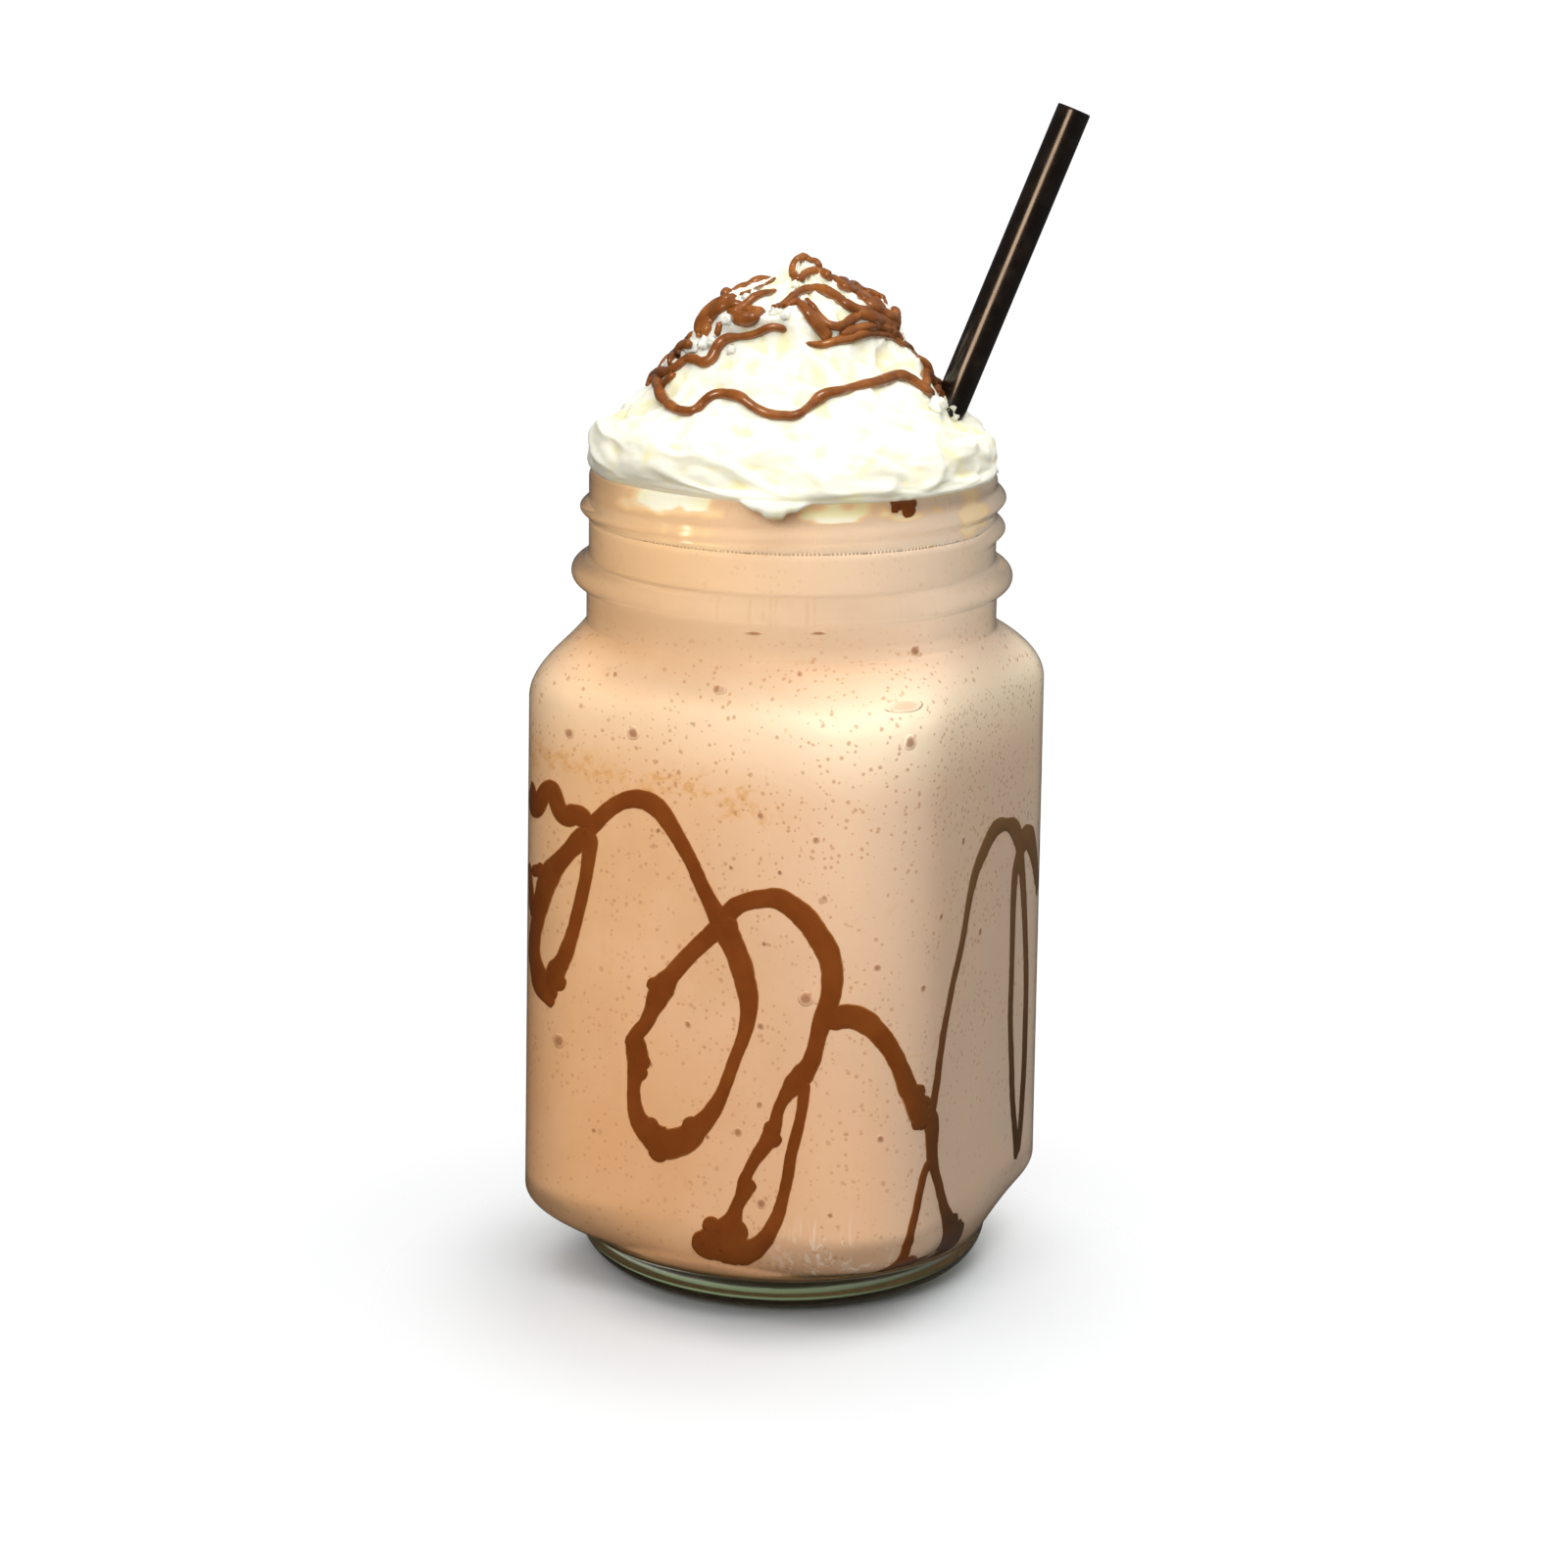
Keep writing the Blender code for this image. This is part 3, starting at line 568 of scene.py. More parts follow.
def outer_rows(azimuth):
    """Heights and radii of the jar's outside, from under the base to the rim."""
    rows = []
    for share in np.linspace(0.02, 1.0, 10):
        rows.append((PUNT * (1.0 - smooth_step((share - 0.8) / 0.2) * 0.35), PUNT_RADIUS * share))
    rows.append((0.15, PUNT_RADIUS + 1.6))
    for turn in np.radians(np.linspace(0.0, 90.0, 16)):
        radius = BASE_RADIUS + (HEEL_RADIUS - BASE_RADIUS) * math.sin(turn)
        rows.append((HEEL_TOP * (1.0 - math.cos(turn)), radius))
    rows += body_rows(azimuth, 0.0, HEEL_RADIUS, HEEL_TOP, WALL_BOTTOM, NECK_RADIUS)
    straight_top = JAR_HEIGHT - RIM_ROUND
    neck = np.arange(SHOULDER_TOP + NECK_ROW, straight_top, NECK_ROW)
    rows += [(height, neck_radius_at(azimuth, height)) for height in neck]
    for turn in np.radians(np.linspace(0.0, 90.0, 8)):
        edge = FINISH_RADIUS - RIM_ROUND * (1.0 - math.cos(turn))
        rows.append((straight_top + RIM_ROUND * math.sin(turn), edge))
    return rows


def inner_rows(azimuth, gap):
    """Heights and radii of the jar's inside, from the neck to the floor, set in by a gap."""
    rows = body_rows(azimuth, GLASS + gap, INNER_HEEL_RADIUS - gap, INNER_HEEL_TOP,
                     INNER_WALL_BOTTOM, MOUTH_RADIUS - gap)
    rows.reverse()
    low = FLOOR + gap
    for turn in np.radians(np.linspace(90.0, 0.0, 14)):
        radius = FLOOR_RADIUS + (INNER_HEEL_RADIUS - FLOOR_RADIUS) * math.sin(turn) - gap
        rows.append((low + (INNER_HEEL_TOP - low) * (1.0 - math.cos(turn)), radius))
    return rows + [(low, (FLOOR_RADIUS - gap) * share) for share in np.linspace(0.9, 0.02, 8)]


def lathe(name, rows, azimuth, material):
    """An object from rows of heights and radii round the jar's axis."""
    points = []
    for height, radius in rows:
        level = np.broadcast_to(height, azimuth.shape)
        points.append(np.stack([radius * np.cos(azimuth), radius * np.sin(azimuth), level], axis=1))
    return add_mesh(name, np.concatenate(points), grid_faces(len(rows), len(azimuth)), material)


def make_jar(material):
    """The glass jar with its thread, bead, rounded rim and thick base."""
    azimuth = np.arange(AROUND) * TURN / AROUND
    rows = outer_rows(azimuth)
    for turn in np.radians(np.linspace(0.0, 90.0, 6)):
        radius = MOUTH_RADIUS + INNER_RIM_ROUND * (1.0 - math.sin(turn))
        rows.append((JAR_HEIGHT - INNER_RIM_ROUND * (1.0 - math.cos(turn)), radius))
    rows += [(height, MOUTH_RADIUS) for height in np.arange(JAR_HEIGHT - 2.0, SHOULDER_TOP + 1.0, -2.0)]
    return lathe("jar_glass", rows + inner_rows(azimuth, 0.0), azimuth, material)


# Drink

def make_drink(material):
    """The drink, which reaches just into the glass."""
    azimuth = np.arange(AROUND) * TURN / AROUND
    edge = MOUTH_RADIUS + REACH
    rows = [(DRINK_TOP, edge * share) for share in (0.02, 0.3, 0.6, 0.9)]
    rows += [(height, edge) for height in np.arange(DRINK_TOP, SHOULDER_TOP + 1.0, -1.5)]
    return lathe("drink", rows + inner_rows(azimuth, -REACH), azimuth, material)


# Cream

def mound_profile(share):
    """Radius and height on the mound's silhouette, from the rim (0) to the peak (1)."""
    last = len(MOUND_PROFILE) - 1
    along = min(max(share, 0.0), 1.0) * last
    knot = min(int(along), last - 1)
    near = [np.array(MOUND_PROFILE[min(max(knot + step, 0), last)]) for step in (-1, 0, 1, 2)]
    radius, height = spline(*near, along - knot)
    return max(radius, 0.0), height


def mound_relief(azimuth, share):
    """Lumps, slanting folds and fine fluff of the whipped cream, as an outward distance."""
    around = math.radians(azimuth)
    where = Vector((1.7 * math.cos(around), 1.7 * math.sin(around), 4.2 * share))
    lumps = noise.noise(where) + 0.5 * noise.noise(where * 2.3)
    folds = math.sin(FOLDS * around - 13.0 * share + 1.6 * noise.noise(where * 0.8))
    calm = smooth_step(share / 0.1) * smooth_step((1.0 - share) / 0.12)
    slant = Vector((around * 9.0 + share * 20.0, around * 2.0 - share * 26.0, 3.0))
    crease = 1.0 - abs(noise.noise(slant * 0.28)) * 2.4
    strokes = 0.75 * max(crease, 0.0) ** 2 - 0.35
    strokes += 0.42 * noise.noise(slant * 0.55) + 0.16 * noise.noise(slant * 1.2)
    fluff = 0.42 * noise.noise(where * 4.0) + 0.14 * noise.noise(where * 10.0)
    fluff += 0.05 * noise.noise(where * 24.0)
    seam = smooth_step(angle_from(azimuth, SEAM_AZIMUTH) / 14.0)
    fine = smooth_step(share / 0.09) * smooth_step((1.0 - share) / 0.05)
    bed = CREAM_INSET * fine + DRIZZLE_BED * smooth_step((share - 0.34) / 0.12)
    centre, wide, level, high, depth = STRAW_DENT
    bed += depth * math.exp(-(angle_from(azimuth, centre) / wide) ** 2 - ((share - level) / high) ** 2)
    return calm * (LUMP_DEPTH * lumps + FOLD_DEPTH * folds) + fine * (strokes * seam + fluff) - bed


def mound_point(azimuth, share):
    """A point on the mound."""
    radius, height = mound_profile(share)
    near_radius, near_height = mound_profile(share - 0.01)
    far_radius, far_height = mound_profile(share + 0.01)
    slope = Vector((far_radius - near_radius, far_height - near_height)).normalized()
    shift = mound_relief(azimuth, share)
    if share < 0.11:
        radius -= BARE_INSET * bare_share(azimuth) * (1.0 - share / 0.11)
    radius = max(radius + slope.y * shift, 0.0)
    height -= slope.x * shift
    lean = MOUND_LEAN * smooth_step((share - 0.55) / 0.45)
    around = math.radians(azimuth)
    tilt = math.radians(MOUND_LEAN_AZIMUTH)
    return (radius * math.cos(around) + lean * math.cos(tilt),
            radius * math.sin(around) + lean * math.sin(tilt), height)


def lip_section(azimuth):
    """Radii and heights where the cream lies on the rim or runs over it, from underneath to above."""
    tongue = max(1.0 - angle_from(azimuth, TONGUE_AZIMUTH) / TONGUE_HALF_ANGLE, 0.0)
    tongue *= 1.0 + 0.5 * noise.noise(Vector((azimuth * 0.5, 1.0, 0.0)))
    wave = 0.35 * noise.noise(Vector((azimuth * 0.11, 2.0, 5.0)))
    wave += 0.35 * noise.noise(Vector((azimuth * 0.45, 2.0, 5.0)))
    lip = LIP_RADIUS + wave - BARE_INSET * bare_share(azimuth) * (1.0 - tongue)
    spill = min(tongue * 4.0, 1.0)
    clear = FINISH_RADIUS - 0.05
    inside = lip - 0.7 + (clear - lip + 0.7) * spill
    outside = lip + (clear + TONGUE_THICK * (0.4 + 0.6 * tongue) - lip) * spill
    drop = TONGUE_DROP * tongue
    level = JAR_HEIGHT - 0.05
    return [
        (inside, level),
        (inside + 0.1, level - 0.6 * drop),
        (0.6 * inside + 0.4 * outside, level - drop),
        (0.15 * inside + 0.85 * outside, level + 0.1 - 0.75 * drop),
        (outside, level + 0.35 - 0.3 * drop),
    ]


def cream_edge_rings(azimuths):
    """Rings of the cream in the neck and at its lip."""
    edge = MOUTH_RADIUS + REACH
    bottom = DRINK_TOP - 0.4
    level_rings = [(radius, bottom) for radius in (0.5, 10.0, 20.0, 28.0)]
    level_rings += [(edge, height) for height in np.arange(bottom, JAR_HEIGHT - 0.8, 0.4)]
    level_rings.append((edge + 0.25, JAR_HEIGHT - 0.35))
    rings = [[spot] * len(azimuths) for spot in level_rings]
    rings += zip(*[lip_section(azimuth) for azimuth in azimuths])
    points = []
    for spots in rings:
        points += [on_circle(math.radians(azimuth), *spot) for azimuth, spot in zip(azimuths, spots)]
    return len(rings), points


def cream_bit(tree, x, y, size, seed):
    """A small ragged lump of cream in the line of sight of a pixel, half sunk where it lies."""
    centre, _ = cast_on(tree, x, y)
    radius = size * (centre - EYE).length / FOCAL
    points = []
    for row in range(BIT_ROWS):
        rise = math.pi * (row + 0.5) / BIT_ROWS
        for turn in turns(BIT_AROUND):
            out = Vector(on_circle(turn, math.sin(rise), math.cos(rise)))
            ragged = 1.0 + 0.7 * noise.noise(out * 1.4 + Vector((seed, 0.0, 0.0)))
            points.append(tuple(centre + out * (radius * ragged)))
    return points


def make_cream(material):
    """Whipped cream in two soft tiers, with folds, creases and small lumps."""
    azimuths = [360.0 * i / CREAM_AROUND for i in range(CREAM_AROUND)]
    rows, points = cream_edge_rings(azimuths)
    for step in range(1, CREAM_ROWS):
        points += [mound_point(azimuth, step / CREAM_ROWS) for azimuth in azimuths]
    faces = grid_faces(rows + CREAM_ROWS - 1, CREAM_AROUND)
    tree = BVHTree.FromPolygons(points, faces)
    for seed, (x, y, size) in enumerate(CREAM_BITS):
        faces += grid_faces(BIT_ROWS, BIT_AROUND, len(points))
        points += cream_bit(tree, x, y, size, 2.3 * seed)
    return add_mesh("whipped_cream", points, faces, material)


def read_values(items, key, wide, kind=float):
    """One property of a mesh's points or edges, as an array."""
    values = np.empty(len(items) * wide, dtype=kind)
    items.foreach_get(key, values)
    return values.reshape(-1, wide)


def paint_fold_shade(cream):
    """Mark how deep each place lies in the cream's folds, for the shade that the cream's material paints
    there.
    """
    mesh = cream.data
    places = read_values(mesh.vertices, "co", 3)
    normals = read_values(mesh.vertices, "normal", 3)
    edges = read_values(mesh.edges, "vertices", 2, int)
    count = np.bincount(edges.ravel(), minlength=len(places))[:, None]
    smooth = places.copy()
    for _ in range(FOLD_ROUNDS):
        total = np.zeros_like(smooth)
        np.add.at(total, edges[:, 0], smooth[edges[:, 1]])
        np.add.at(total, edges[:, 1], smooth[edges[:, 0]])
        smooth = 0.5 * smooth + 0.5 * total / np.maximum(count, 1)
    depth = ((smooth - places) * normals).sum(axis=1) / MM
    add_value(cream, "fold", np.clip(0.5 + depth * FOLD_GAIN, 0.0, 1.0))


def paint_neck(cream, tree, glass):
    """Mark where cream shows in the neck, and where the drink has risen between it and the glass."""
    patches = []
    for x, y, half_wide, half_high, strength in NECK_PATCHES:
        spot, _ = cast_on(tree, x, y, glass)
        if spot.dot(AWAY) > 0.0:
            continue
        azimuth = math.degrees(math.atan2(spot.y, spot.x))
        wide = half_wide / PIXELS_PER_DEGREE
        patches.append((azimuth, spot.z, wide, half_high / PIXELS_PER_UPRIGHT_MM, strength))
    values = []
    for vertex in cream.data.vertices:
        place = vertex.co / MM
        if place.z > JAR_HEIGHT - 0.2 or math.hypot(place.x, place.y) > MOUTH_RADIUS + 0.6:
            values.append(1.0)
            continue
        azimuth = math.degrees(math.atan2(place.y, place.x))
        where = Vector((place.x, place.y, place.z * 2.0))
        ragged = noise.noise(where * 0.16) + 0.5 * noise.noise(where * 0.4)
        level = place.z - MELT_LEVEL + 1.5 * bare_share(azimuth) + 2.2 * ragged
        shown = smooth_step((level + 0.5) / 1.4)
        for centre, height, wide, high, strength in patches:
            gap = (angle_from(azimuth, centre) / wide) ** 2 + ((place.z - height) / high) ** 2
            shown = max(shown, strength * smooth_step((1.3 - gap + 1.8 * ragged) / 1.4))
        values.append(shown)
    add_value(cream, "cream_shown", values)


# Sauce

def strand_on_cream(tree, pixels):
    """Middle line, normals and half widths of a drizzle strand that the photograph shows."""
    line = curve_through(pixels, 2.0)
    path, normals = arrays_of([cast_on(tree, x, y) for x, y, _ in line])
    far = (path - np.array(tuple(EYE))) @ np.array(tuple(LOOK))
    halves = 0.5 * DRIZZLE_SPREAD * line[:, 2] * far / FOCAL
    return soften_line(path, 2), soften_line(normals, 6), np.maximum(halves, 0.2)


def strand_behind_glass(tree, glass, pixels):
    """Middle line, normals and half widths of a sauce line inside the glass, from its two edges."""
    line = curve_through(pixels, 2.5)
    run = unit(np.gradient(line[:, :2], axis=0))
    slim = [SIDE_SLIM * smooth_step((x - SIDE_START) / SIDE_RUN) for x in line[:, 0]]
    half = 0.5 * (SWIRL_SPREAD - np.array(slim)) * line[:, 2]
    side = np.stack([run[:, 1], -run[:, 0]], axis=1) * half[:, None]
    left, normals = arrays_of([cast_on(tree, x, y, glass) for x, y in line[:, :2] - side])
    right, _ = arrays_of([cast_on(tree, x, y, glass) for x, y in line[:, :2] + side])
    halves = soften_line(0.5 * np.linalg.norm(right - left, axis=1), 2)
    return soften_line(0.5 * (left + right), 2), soften_line(normals, 6), np.clip(halves, 0.2, 4.8)


def strand_in_neck(places):
    """Middle line, normals and half widths of sauce inside the neck, from azimuths and heights."""
    azimuths, heights, widths = np.array(places).T
    out = np.array([on_circle(turn, 1.0, 0.0) for turn in np.radians(azimuths)])
    path = out * (MOUTH_RADIUS + REACH)
    path[:, 2] = heights
    return path, out, 0.5 * widths


def even_strand(path, normals, halves):
    """The same strand with evenly spaced points and rounded ends."""
    path, normals, halves = spaced(path, STRAND_STEP, 3, normals, halves[:, None])
    normals /= np.linalg.norm(normals, axis=1)[:, None]
    halves = halves[:, 0]
    steps = np.arange(len(halves)) * STRAND_STEP
    ends = np.minimum(steps / max(halves[0], 0.3), steps[::-1] / max(halves[-1], 0.3))
    taper = np.sqrt(np.clip(1.0 - (1.0 - np.clip(ends, 0.0, 1.0)) ** 2, 0.03, 1.0))
    return path, normals, halves, taper


def wobble(path, size, seed):
    """Slow random swelling along a path."""
    return np.array([noise.noise(Vector(point) / size + Vector((seed, 0.0, 0.0))) for point in path])


def add_strands(name, strands, rings_of, sides, material):
    """One object from many strands, each given to a function that makes its rings."""
    points = []
    faces = []
    for seed, strand in enumerate(strands):
        rings = rings_of(*strand, 3.0 * seed)
        faces += grid_faces(len(rings) // sides, sides, len(points))
        points += rings
    return add_mesh(name, points, faces, material)


def drizzle_rings(path, normals, halves, seed):
    """Rings of one thick glossy strand on the cream."""
    path, normals, halves, taper = even_strand(path, normals, halves)
    swell = 1.0 + 0.14 * wobble(path, 2.2, seed) + 0.08 * wobble(path, 0.9, seed + 7.0)
    half = halves * swell * taper
    height = np.minimum(half * 0.85, 0.85)
    across = sideways(path, normals)
    rings = []
    for i in range(len(path)):
        for turn in turns(DRIZZLE_SIDES):
            out = height[i] * 0.35 + height[i] * math.cos(turn)
            rings.append(path[i] + normals[i] * out + across[i] * half[i] * math.sin(turn))
    return rings


def back_drizzle_path(tree, start, end, share, swing, waves):
    """Points and normals of a waving strand on the far side of the mound."""
    hits = []
    for step in range(BACK_STEPS + 1):
        run = step / BACK_STEPS
        level = share + swing * math.sin(waves * TURN * run) + 0.012 * math.sin(17.0 * run)
        hits.append(tree.find_nearest(Vector(mound_point(start + (end - start) * run, level))))
    path, normals = arrays_of(hits)
    return soften_line(path, 2), soften_line(normals, 6)


def make_drizzle(tree, material):
    """The chocolate drizzle on the cream, front and back."""
    strands = [strand_on_cream(tree, pixels) for pixels in DRIZZLE]
    for *course, width in BACK_DRIZZLE:
        path, normals = back_drizzle_path(tree, *course)
        strands.append((path, normals, np.full(len(path), 0.5 * width)))
    return add_strands("chocolate_drizzle", strands, drizzle_rings, DRIZZLE_SIDES, material)


def swirl_rings(tree, path, normals, halves, seed):
    """Rings of a flat sauce line that follows the curved surface behind the glass."""
    path, normals, halves, taper = even_strand(path, normals, halves)
    swell = 1.0 + 0.06 * wobble(path, 1.6, seed) + 0.05 * wobble(path, 0.7, seed + 5.0)
    half = halves * swell * taper
    across = sideways(path, normals)
    rings = []
    for i in range(len(path)):
        for turn in turns(SWIRL_SIDES):
            spot, normal, _, _ = tree.find_nearest(Vector(path[i] + across[i] * half[i] * math.sin(turn)))
            rings.append(tuple(spot + normal * (SWIRL_LIFT + SWIRL_THICK * math.cos(turn))))
    return rings


def make_swirls(tree, cream_tree, glass, material):
    """Chocolate sauce that runs down the inside of the glass, front and back, and a spot at the rim."""
    strands = []
    drops = [[(x - r, y + 1, 2 * r), (x, y, 2 * r), (x + r, y + 1, 2 * r)] for x, y, r in SWIRL_DROPS]
    for pixels in SWIRLS + drops:
        path, normals, halves = strand_behind_glass(tree, glass, pixels)
        strands.append((tree, path, normals, halves))
        strands.append((tree, path * HALF_TURN, normals * HALF_TURN, halves))
    strands += [(cream_tree, *strand_in_neck(places)) for places in RIM_SPOTS]
    swirls = add_strands("sauce_swirls", strands, swirl_rings, SWIRL_SIDES, material)
    edge = [abs(math.sin(turn)) for turn in turns(SWIRL_SIDES)]
    add_value(swirls, "edge", edge * (len(swirls.data.vertices) // SWIRL_SIDES))
    return swirls


def spot_places(tree, glass):
    """Where the drink's spots lie, their normals and half sizes, and how pale they are."""
    places = []
    round_spots = [(x, y, radius, radius, 0.0) for x, y, radius in SPOTS]
    for x, y, *sizes, light in round_spots + FLAT_SPOTS:
        spot, normal = cast_on(tree, x, y, glass)
        wide, high = [size / PIXELS_PER_MM for size in sizes]
        places.append((spot, normal, wide, high, light))
        if light == 0.0 and wide == high:
            places.append((spot * Vector(HALF_TURN), normal * Vector(HALF_TURN), wide, high, light))
    return places


def make_spots(tree, glass, material):
    """Soft brown spots just under the drink's surface."""
    points = []
    faces = []
    edge = []
    pale = []
    for seed, (spot, normal, wide, high, light) in enumerate(spot_places(tree, glass)):
        side = normal.cross(UPWARD).normalized() * wide
        other = normal.cross(side).normalized() * high
        faces += grid_faces(len(SPOT_SHARES) + 1, SPOT_AROUND, len(points))
        for share in (*SPOT_SHARES, None):
            for turn in turns(SPOT_AROUND):
                ragged = 1.0 + 0.18 * noise.noise(Vector((math.cos(turn), math.sin(turn), seed * 3.0)))
                reach = share * ragged if share else 0.9
                lift = 0.10 * (1.0 - share ** 2) + 0.02 if share else -0.15
                out = side * math.cos(turn) + other * math.sin(turn)
                on, up, _, _ = tree.find_nearest(spot + out * reach)
                points.append(tuple(on + up * lift))
                edge.append(share or 1.0)
                pale.append(light)
    spots = add_mesh("drink_spots", points, faces, material)
    add_value(spots, "edge", edge)
    add_value(spots, "pale", pale)
    return spots


# Straw

def make_straw(material):
    """Straight hollow straw with softly rounded ends."""
    run = STRAW_TIP - STRAW_FOOT
    half = run.length / 2.0
    lip = STRAW_WALL / 2.0
    outline = []
    for radius, top in ((STRAW_RADIUS, 1.0), (STRAW_RADIUS - STRAW_WALL, -1.0)):
        outline += [(radius, half * share) for share in np.linspace(-0.995 * top, 0.995 * top, 40)]
        for turn in np.radians(np.linspace(0.0, 180.0, 7) + (0.0 if top > 0.0 else 180.0)):
            height = top * (half - lip) + lip * math.sin(turn)
            outline.append((STRAW_RADIUS - lip + lip * math.cos(turn), height))
    points = []
    for radius, height in outline:
        points += [on_circle(turn, radius, height) for turn in turns(STRAW_AROUND)]
    faces = grid_faces(len(outline), STRAW_AROUND, close=False)
    last = len(points) - STRAW_AROUND
    for i in range(STRAW_AROUND):
        j = (i + 1) % STRAW_AROUND
        faces.append((last + i, last + j, j, i))
    straw = add_mesh("drinking_straw", points, faces, material)
    place = Matrix.Translation((STRAW_TIP + STRAW_FOOT) * 0.5 * MM)
    straw.data.transform(place @ run.to_track_quat("Z", "Y").to_matrix().to_4x4())
    return straw


# Materials

class Nodes:
    """Short calls for building the nodes of a material, or of the world if no material is given."""

    def __init__(self, name, owner=None):
        self.material = owner or bpy.data.materials.new(name)
        self.material.use_nodes = True
        self.tree = self.material.node_tree
        self.shader = self.tree.nodes.get("Principled BSDF")
        self.output = self.tree.nodes.get("Material Output")

    def feed(self, socket, value):
        """Set a socket to a number or a colour, or join it to another socket."""
        if isinstance(value, bpy.types.NodeSocket):
            self.tree.links.new(value, socket)
        elif isinstance(value, tuple) and len(value) == 3 and socket.type == "RGBA":
            socket.default_value = (*value, 1.0)
        else:
            socket.default_value = value

    def add(self, kind, *fed, settings=None, **named):
        """A node with its first sockets fed in order and others by name."""
        node = self.tree.nodes.new("ShaderNode" + kind)
        for key, value in (settings or {}).items():
            setattr(node, key, value)
        for index, value in enumerate(fed):
            self.feed(node.inputs[index], value)
        for key, value in named.items():
            self.feed(node.inputs[key.replace("_", " ")], value)
        return node

    def set(self, **values):
        """Set the shader's own sockets."""
        for key, value in values.items():
            self.feed(self.shader.inputs[key.replace("_", " ")], value)

    def place(self):
        """The point on the object, in metres."""
        return self.add("TexCoord").outputs["Object"]

    def split(self, vector):
        """Its x, y and z."""
        return self.add("SeparateXYZ", vector).outputs

    def across(self, x, y):
        """How far a point lies to the right of the jar's axis, as the camera sees it."""
        return self.plus(self.times(x, SIDEWAYS.x), self.times(y, SIDEWAYS.y))

    def math(self, operation, *terms):
        """One sum."""
        return self.add("Math", *terms, settings={"operation": operation}).outputs[0]

    def times(self, product, *values):
        """Product of values."""
        for value in values:
            product = self.math("MULTIPLY", product, value)
        return product

    def plus(self, first, second):
        """Sum of two values."""
        return self.math("ADD", first, second)

    def minus(self, first, second):
        """Difference of two values."""
        return self.math("SUBTRACT", first, second)

    def vector(self, operation, *terms):
        """One sum with vectors."""
        return self.add("VectorMath", *terms, settings={"operation": operation}).outputs

    def ramp(self, value, low, high, start=0.0, end=1.0, kind="SMOOTHSTEP"):
        """Map a range to another, smoothly if nothing else is said."""
        node = self.add("MapRange", value, low, high, start, end, settings={"interpolation_type": kind})
        return node.outputs[0]

    def noise(self, vector, scale, detail=3.0, rough=0.5, distort=0.0):
        """Cloudy noise."""
        return self.add("TexNoise", Vector=vector, Scale=scale, Detail=detail, Roughness=rough,
                        Distortion=distort).outputs["Fac"]

    def mix(self, factor, first, second):
        """Mix two colours."""
        node = self.add("Mix", settings={"data_type": "RGBA"})
        for index, value in zip(COLOUR_MIX_SOCKETS, (factor, first, second)):
            self.feed(node.inputs[index], value)
        return node.outputs[COLOUR_MIX_RESULT]

    def layered(self, colour, *layers):
        """A colour with others laid over it, each given as its share and its colour."""
        for share, over in layers:
            colour = self.mix(share, colour, over)
        return colour

    def dots(self, vector, scale, most, seed):
        """Round specks of uneven size, 1 inside and 0 outside."""
        shifted = self.vector("ADD", vector, (seed, seed * 0.7, seed * 1.3))[0]
        bend = self.add("TexNoise", Vector=shifted, Scale=scale * 2.6).outputs["Color"]
        bent = self.vector("MULTIPLY_ADD", bend, (0.35 / scale,) * 3, shifted)[0]
        cells = self.add("TexVoronoi", Vector=bent, Scale=scale).outputs
        reach = self.times(self.split(cells["Color"])[0], most)
        return self.ramp(self.minus(reach, cells["Distance"]), 0.0, most * 0.25)

    def value_of(self, name):
        """A number stored on the mesh."""
        return self.add("Attribute", settings={"attribute_name": name}).outputs["Fac"]

    def bump(self, height, strength, distance):
        """Fine relief."""
        node = self.add("Bump", Height=height, Strength=strength, Distance=distance)
        self.feed(self.shader.inputs["Normal"], node.outputs[0])


def glass_material():
    """Clear pressed glass, greenish where it is thick at the base, darkened there and along its outline by
    painted shade, which lets lamps through.
    """
    nodes = Nodes("jar_glass")
    place = nodes.place()
    facing = nodes.add("LayerWeight", Blend=0.5).outputs["Facing"]
    x, y, z = nodes.split(place)
    across = nodes.across(x, y)
    # painted shade: the dark base tint reaches higher where the glass turns away from view, less so on the
    # right
    turned = nodes.ramp(facing, 0.50, 0.92, 0.0, 0.0045)
    height = nodes.minus(z, nodes.times(turned, nodes.ramp(across, 0.008, 0.026, 1.0, 0.3)))
    clear_above = nodes.ramp(height, 0.0050, 0.0082)
    # painted shade: dark grey-green tint where the glass turns away at its outline, weaker on the left and
    # near the top, and added at the right end of the neck
    rim = nodes.ramp(facing, 0.70, 0.98, 0.0, 0.85)
    rim = nodes.times(rim, nodes.ramp(across, -0.030, 0.030, 0.15, 1.0))
    side = nodes.times(nodes.ramp(across, 0.0315, 0.0355, 0.0, 0.45), nodes.ramp(z, 0.112, 0.116))
    rim = nodes.times(nodes.math("MAXIMUM", rim, side), nodes.ramp(height, 0.1325, 0.1345, 1.0, 0.2))
    tint = nodes.mix(rim, (0.955, 0.975, 0.95), (0.30, 0.30, 0.22))
    # dark green at the base: partly the thick glass's own colour, partly painted shade
    tint = nodes.mix(clear_above, (0.185, 0.235, 0.130), tint)
    mirror = nodes.mix(clear_above, (0.22, 0.24, 0.20), (0.40, 0.40, 0.40))
    nodes.set(Base_Color=tint, Roughness=0.09, IOR=1.5, Specular_Tint=mirror, Transmission_Weight=1.0)
    nodes.bump(nodes.noise(place, 90.0, 2.0), 0.12, 0.0006)
    clear = nodes.add("BsdfTransparent", nodes.mix(clear_above, (0.02, 0.03, 0.015), (0.96, 0.97, 0.955)))
    shadow = nodes.add("LightPath").outputs["Is Shadow Ray"]
    choose = nodes.add("MixShader", shadow, nodes.shader.outputs[0], clear.outputs[0])
    nodes.feed(nodes.output.inputs["Surface"], choose.outputs[0])
    return nodes.material


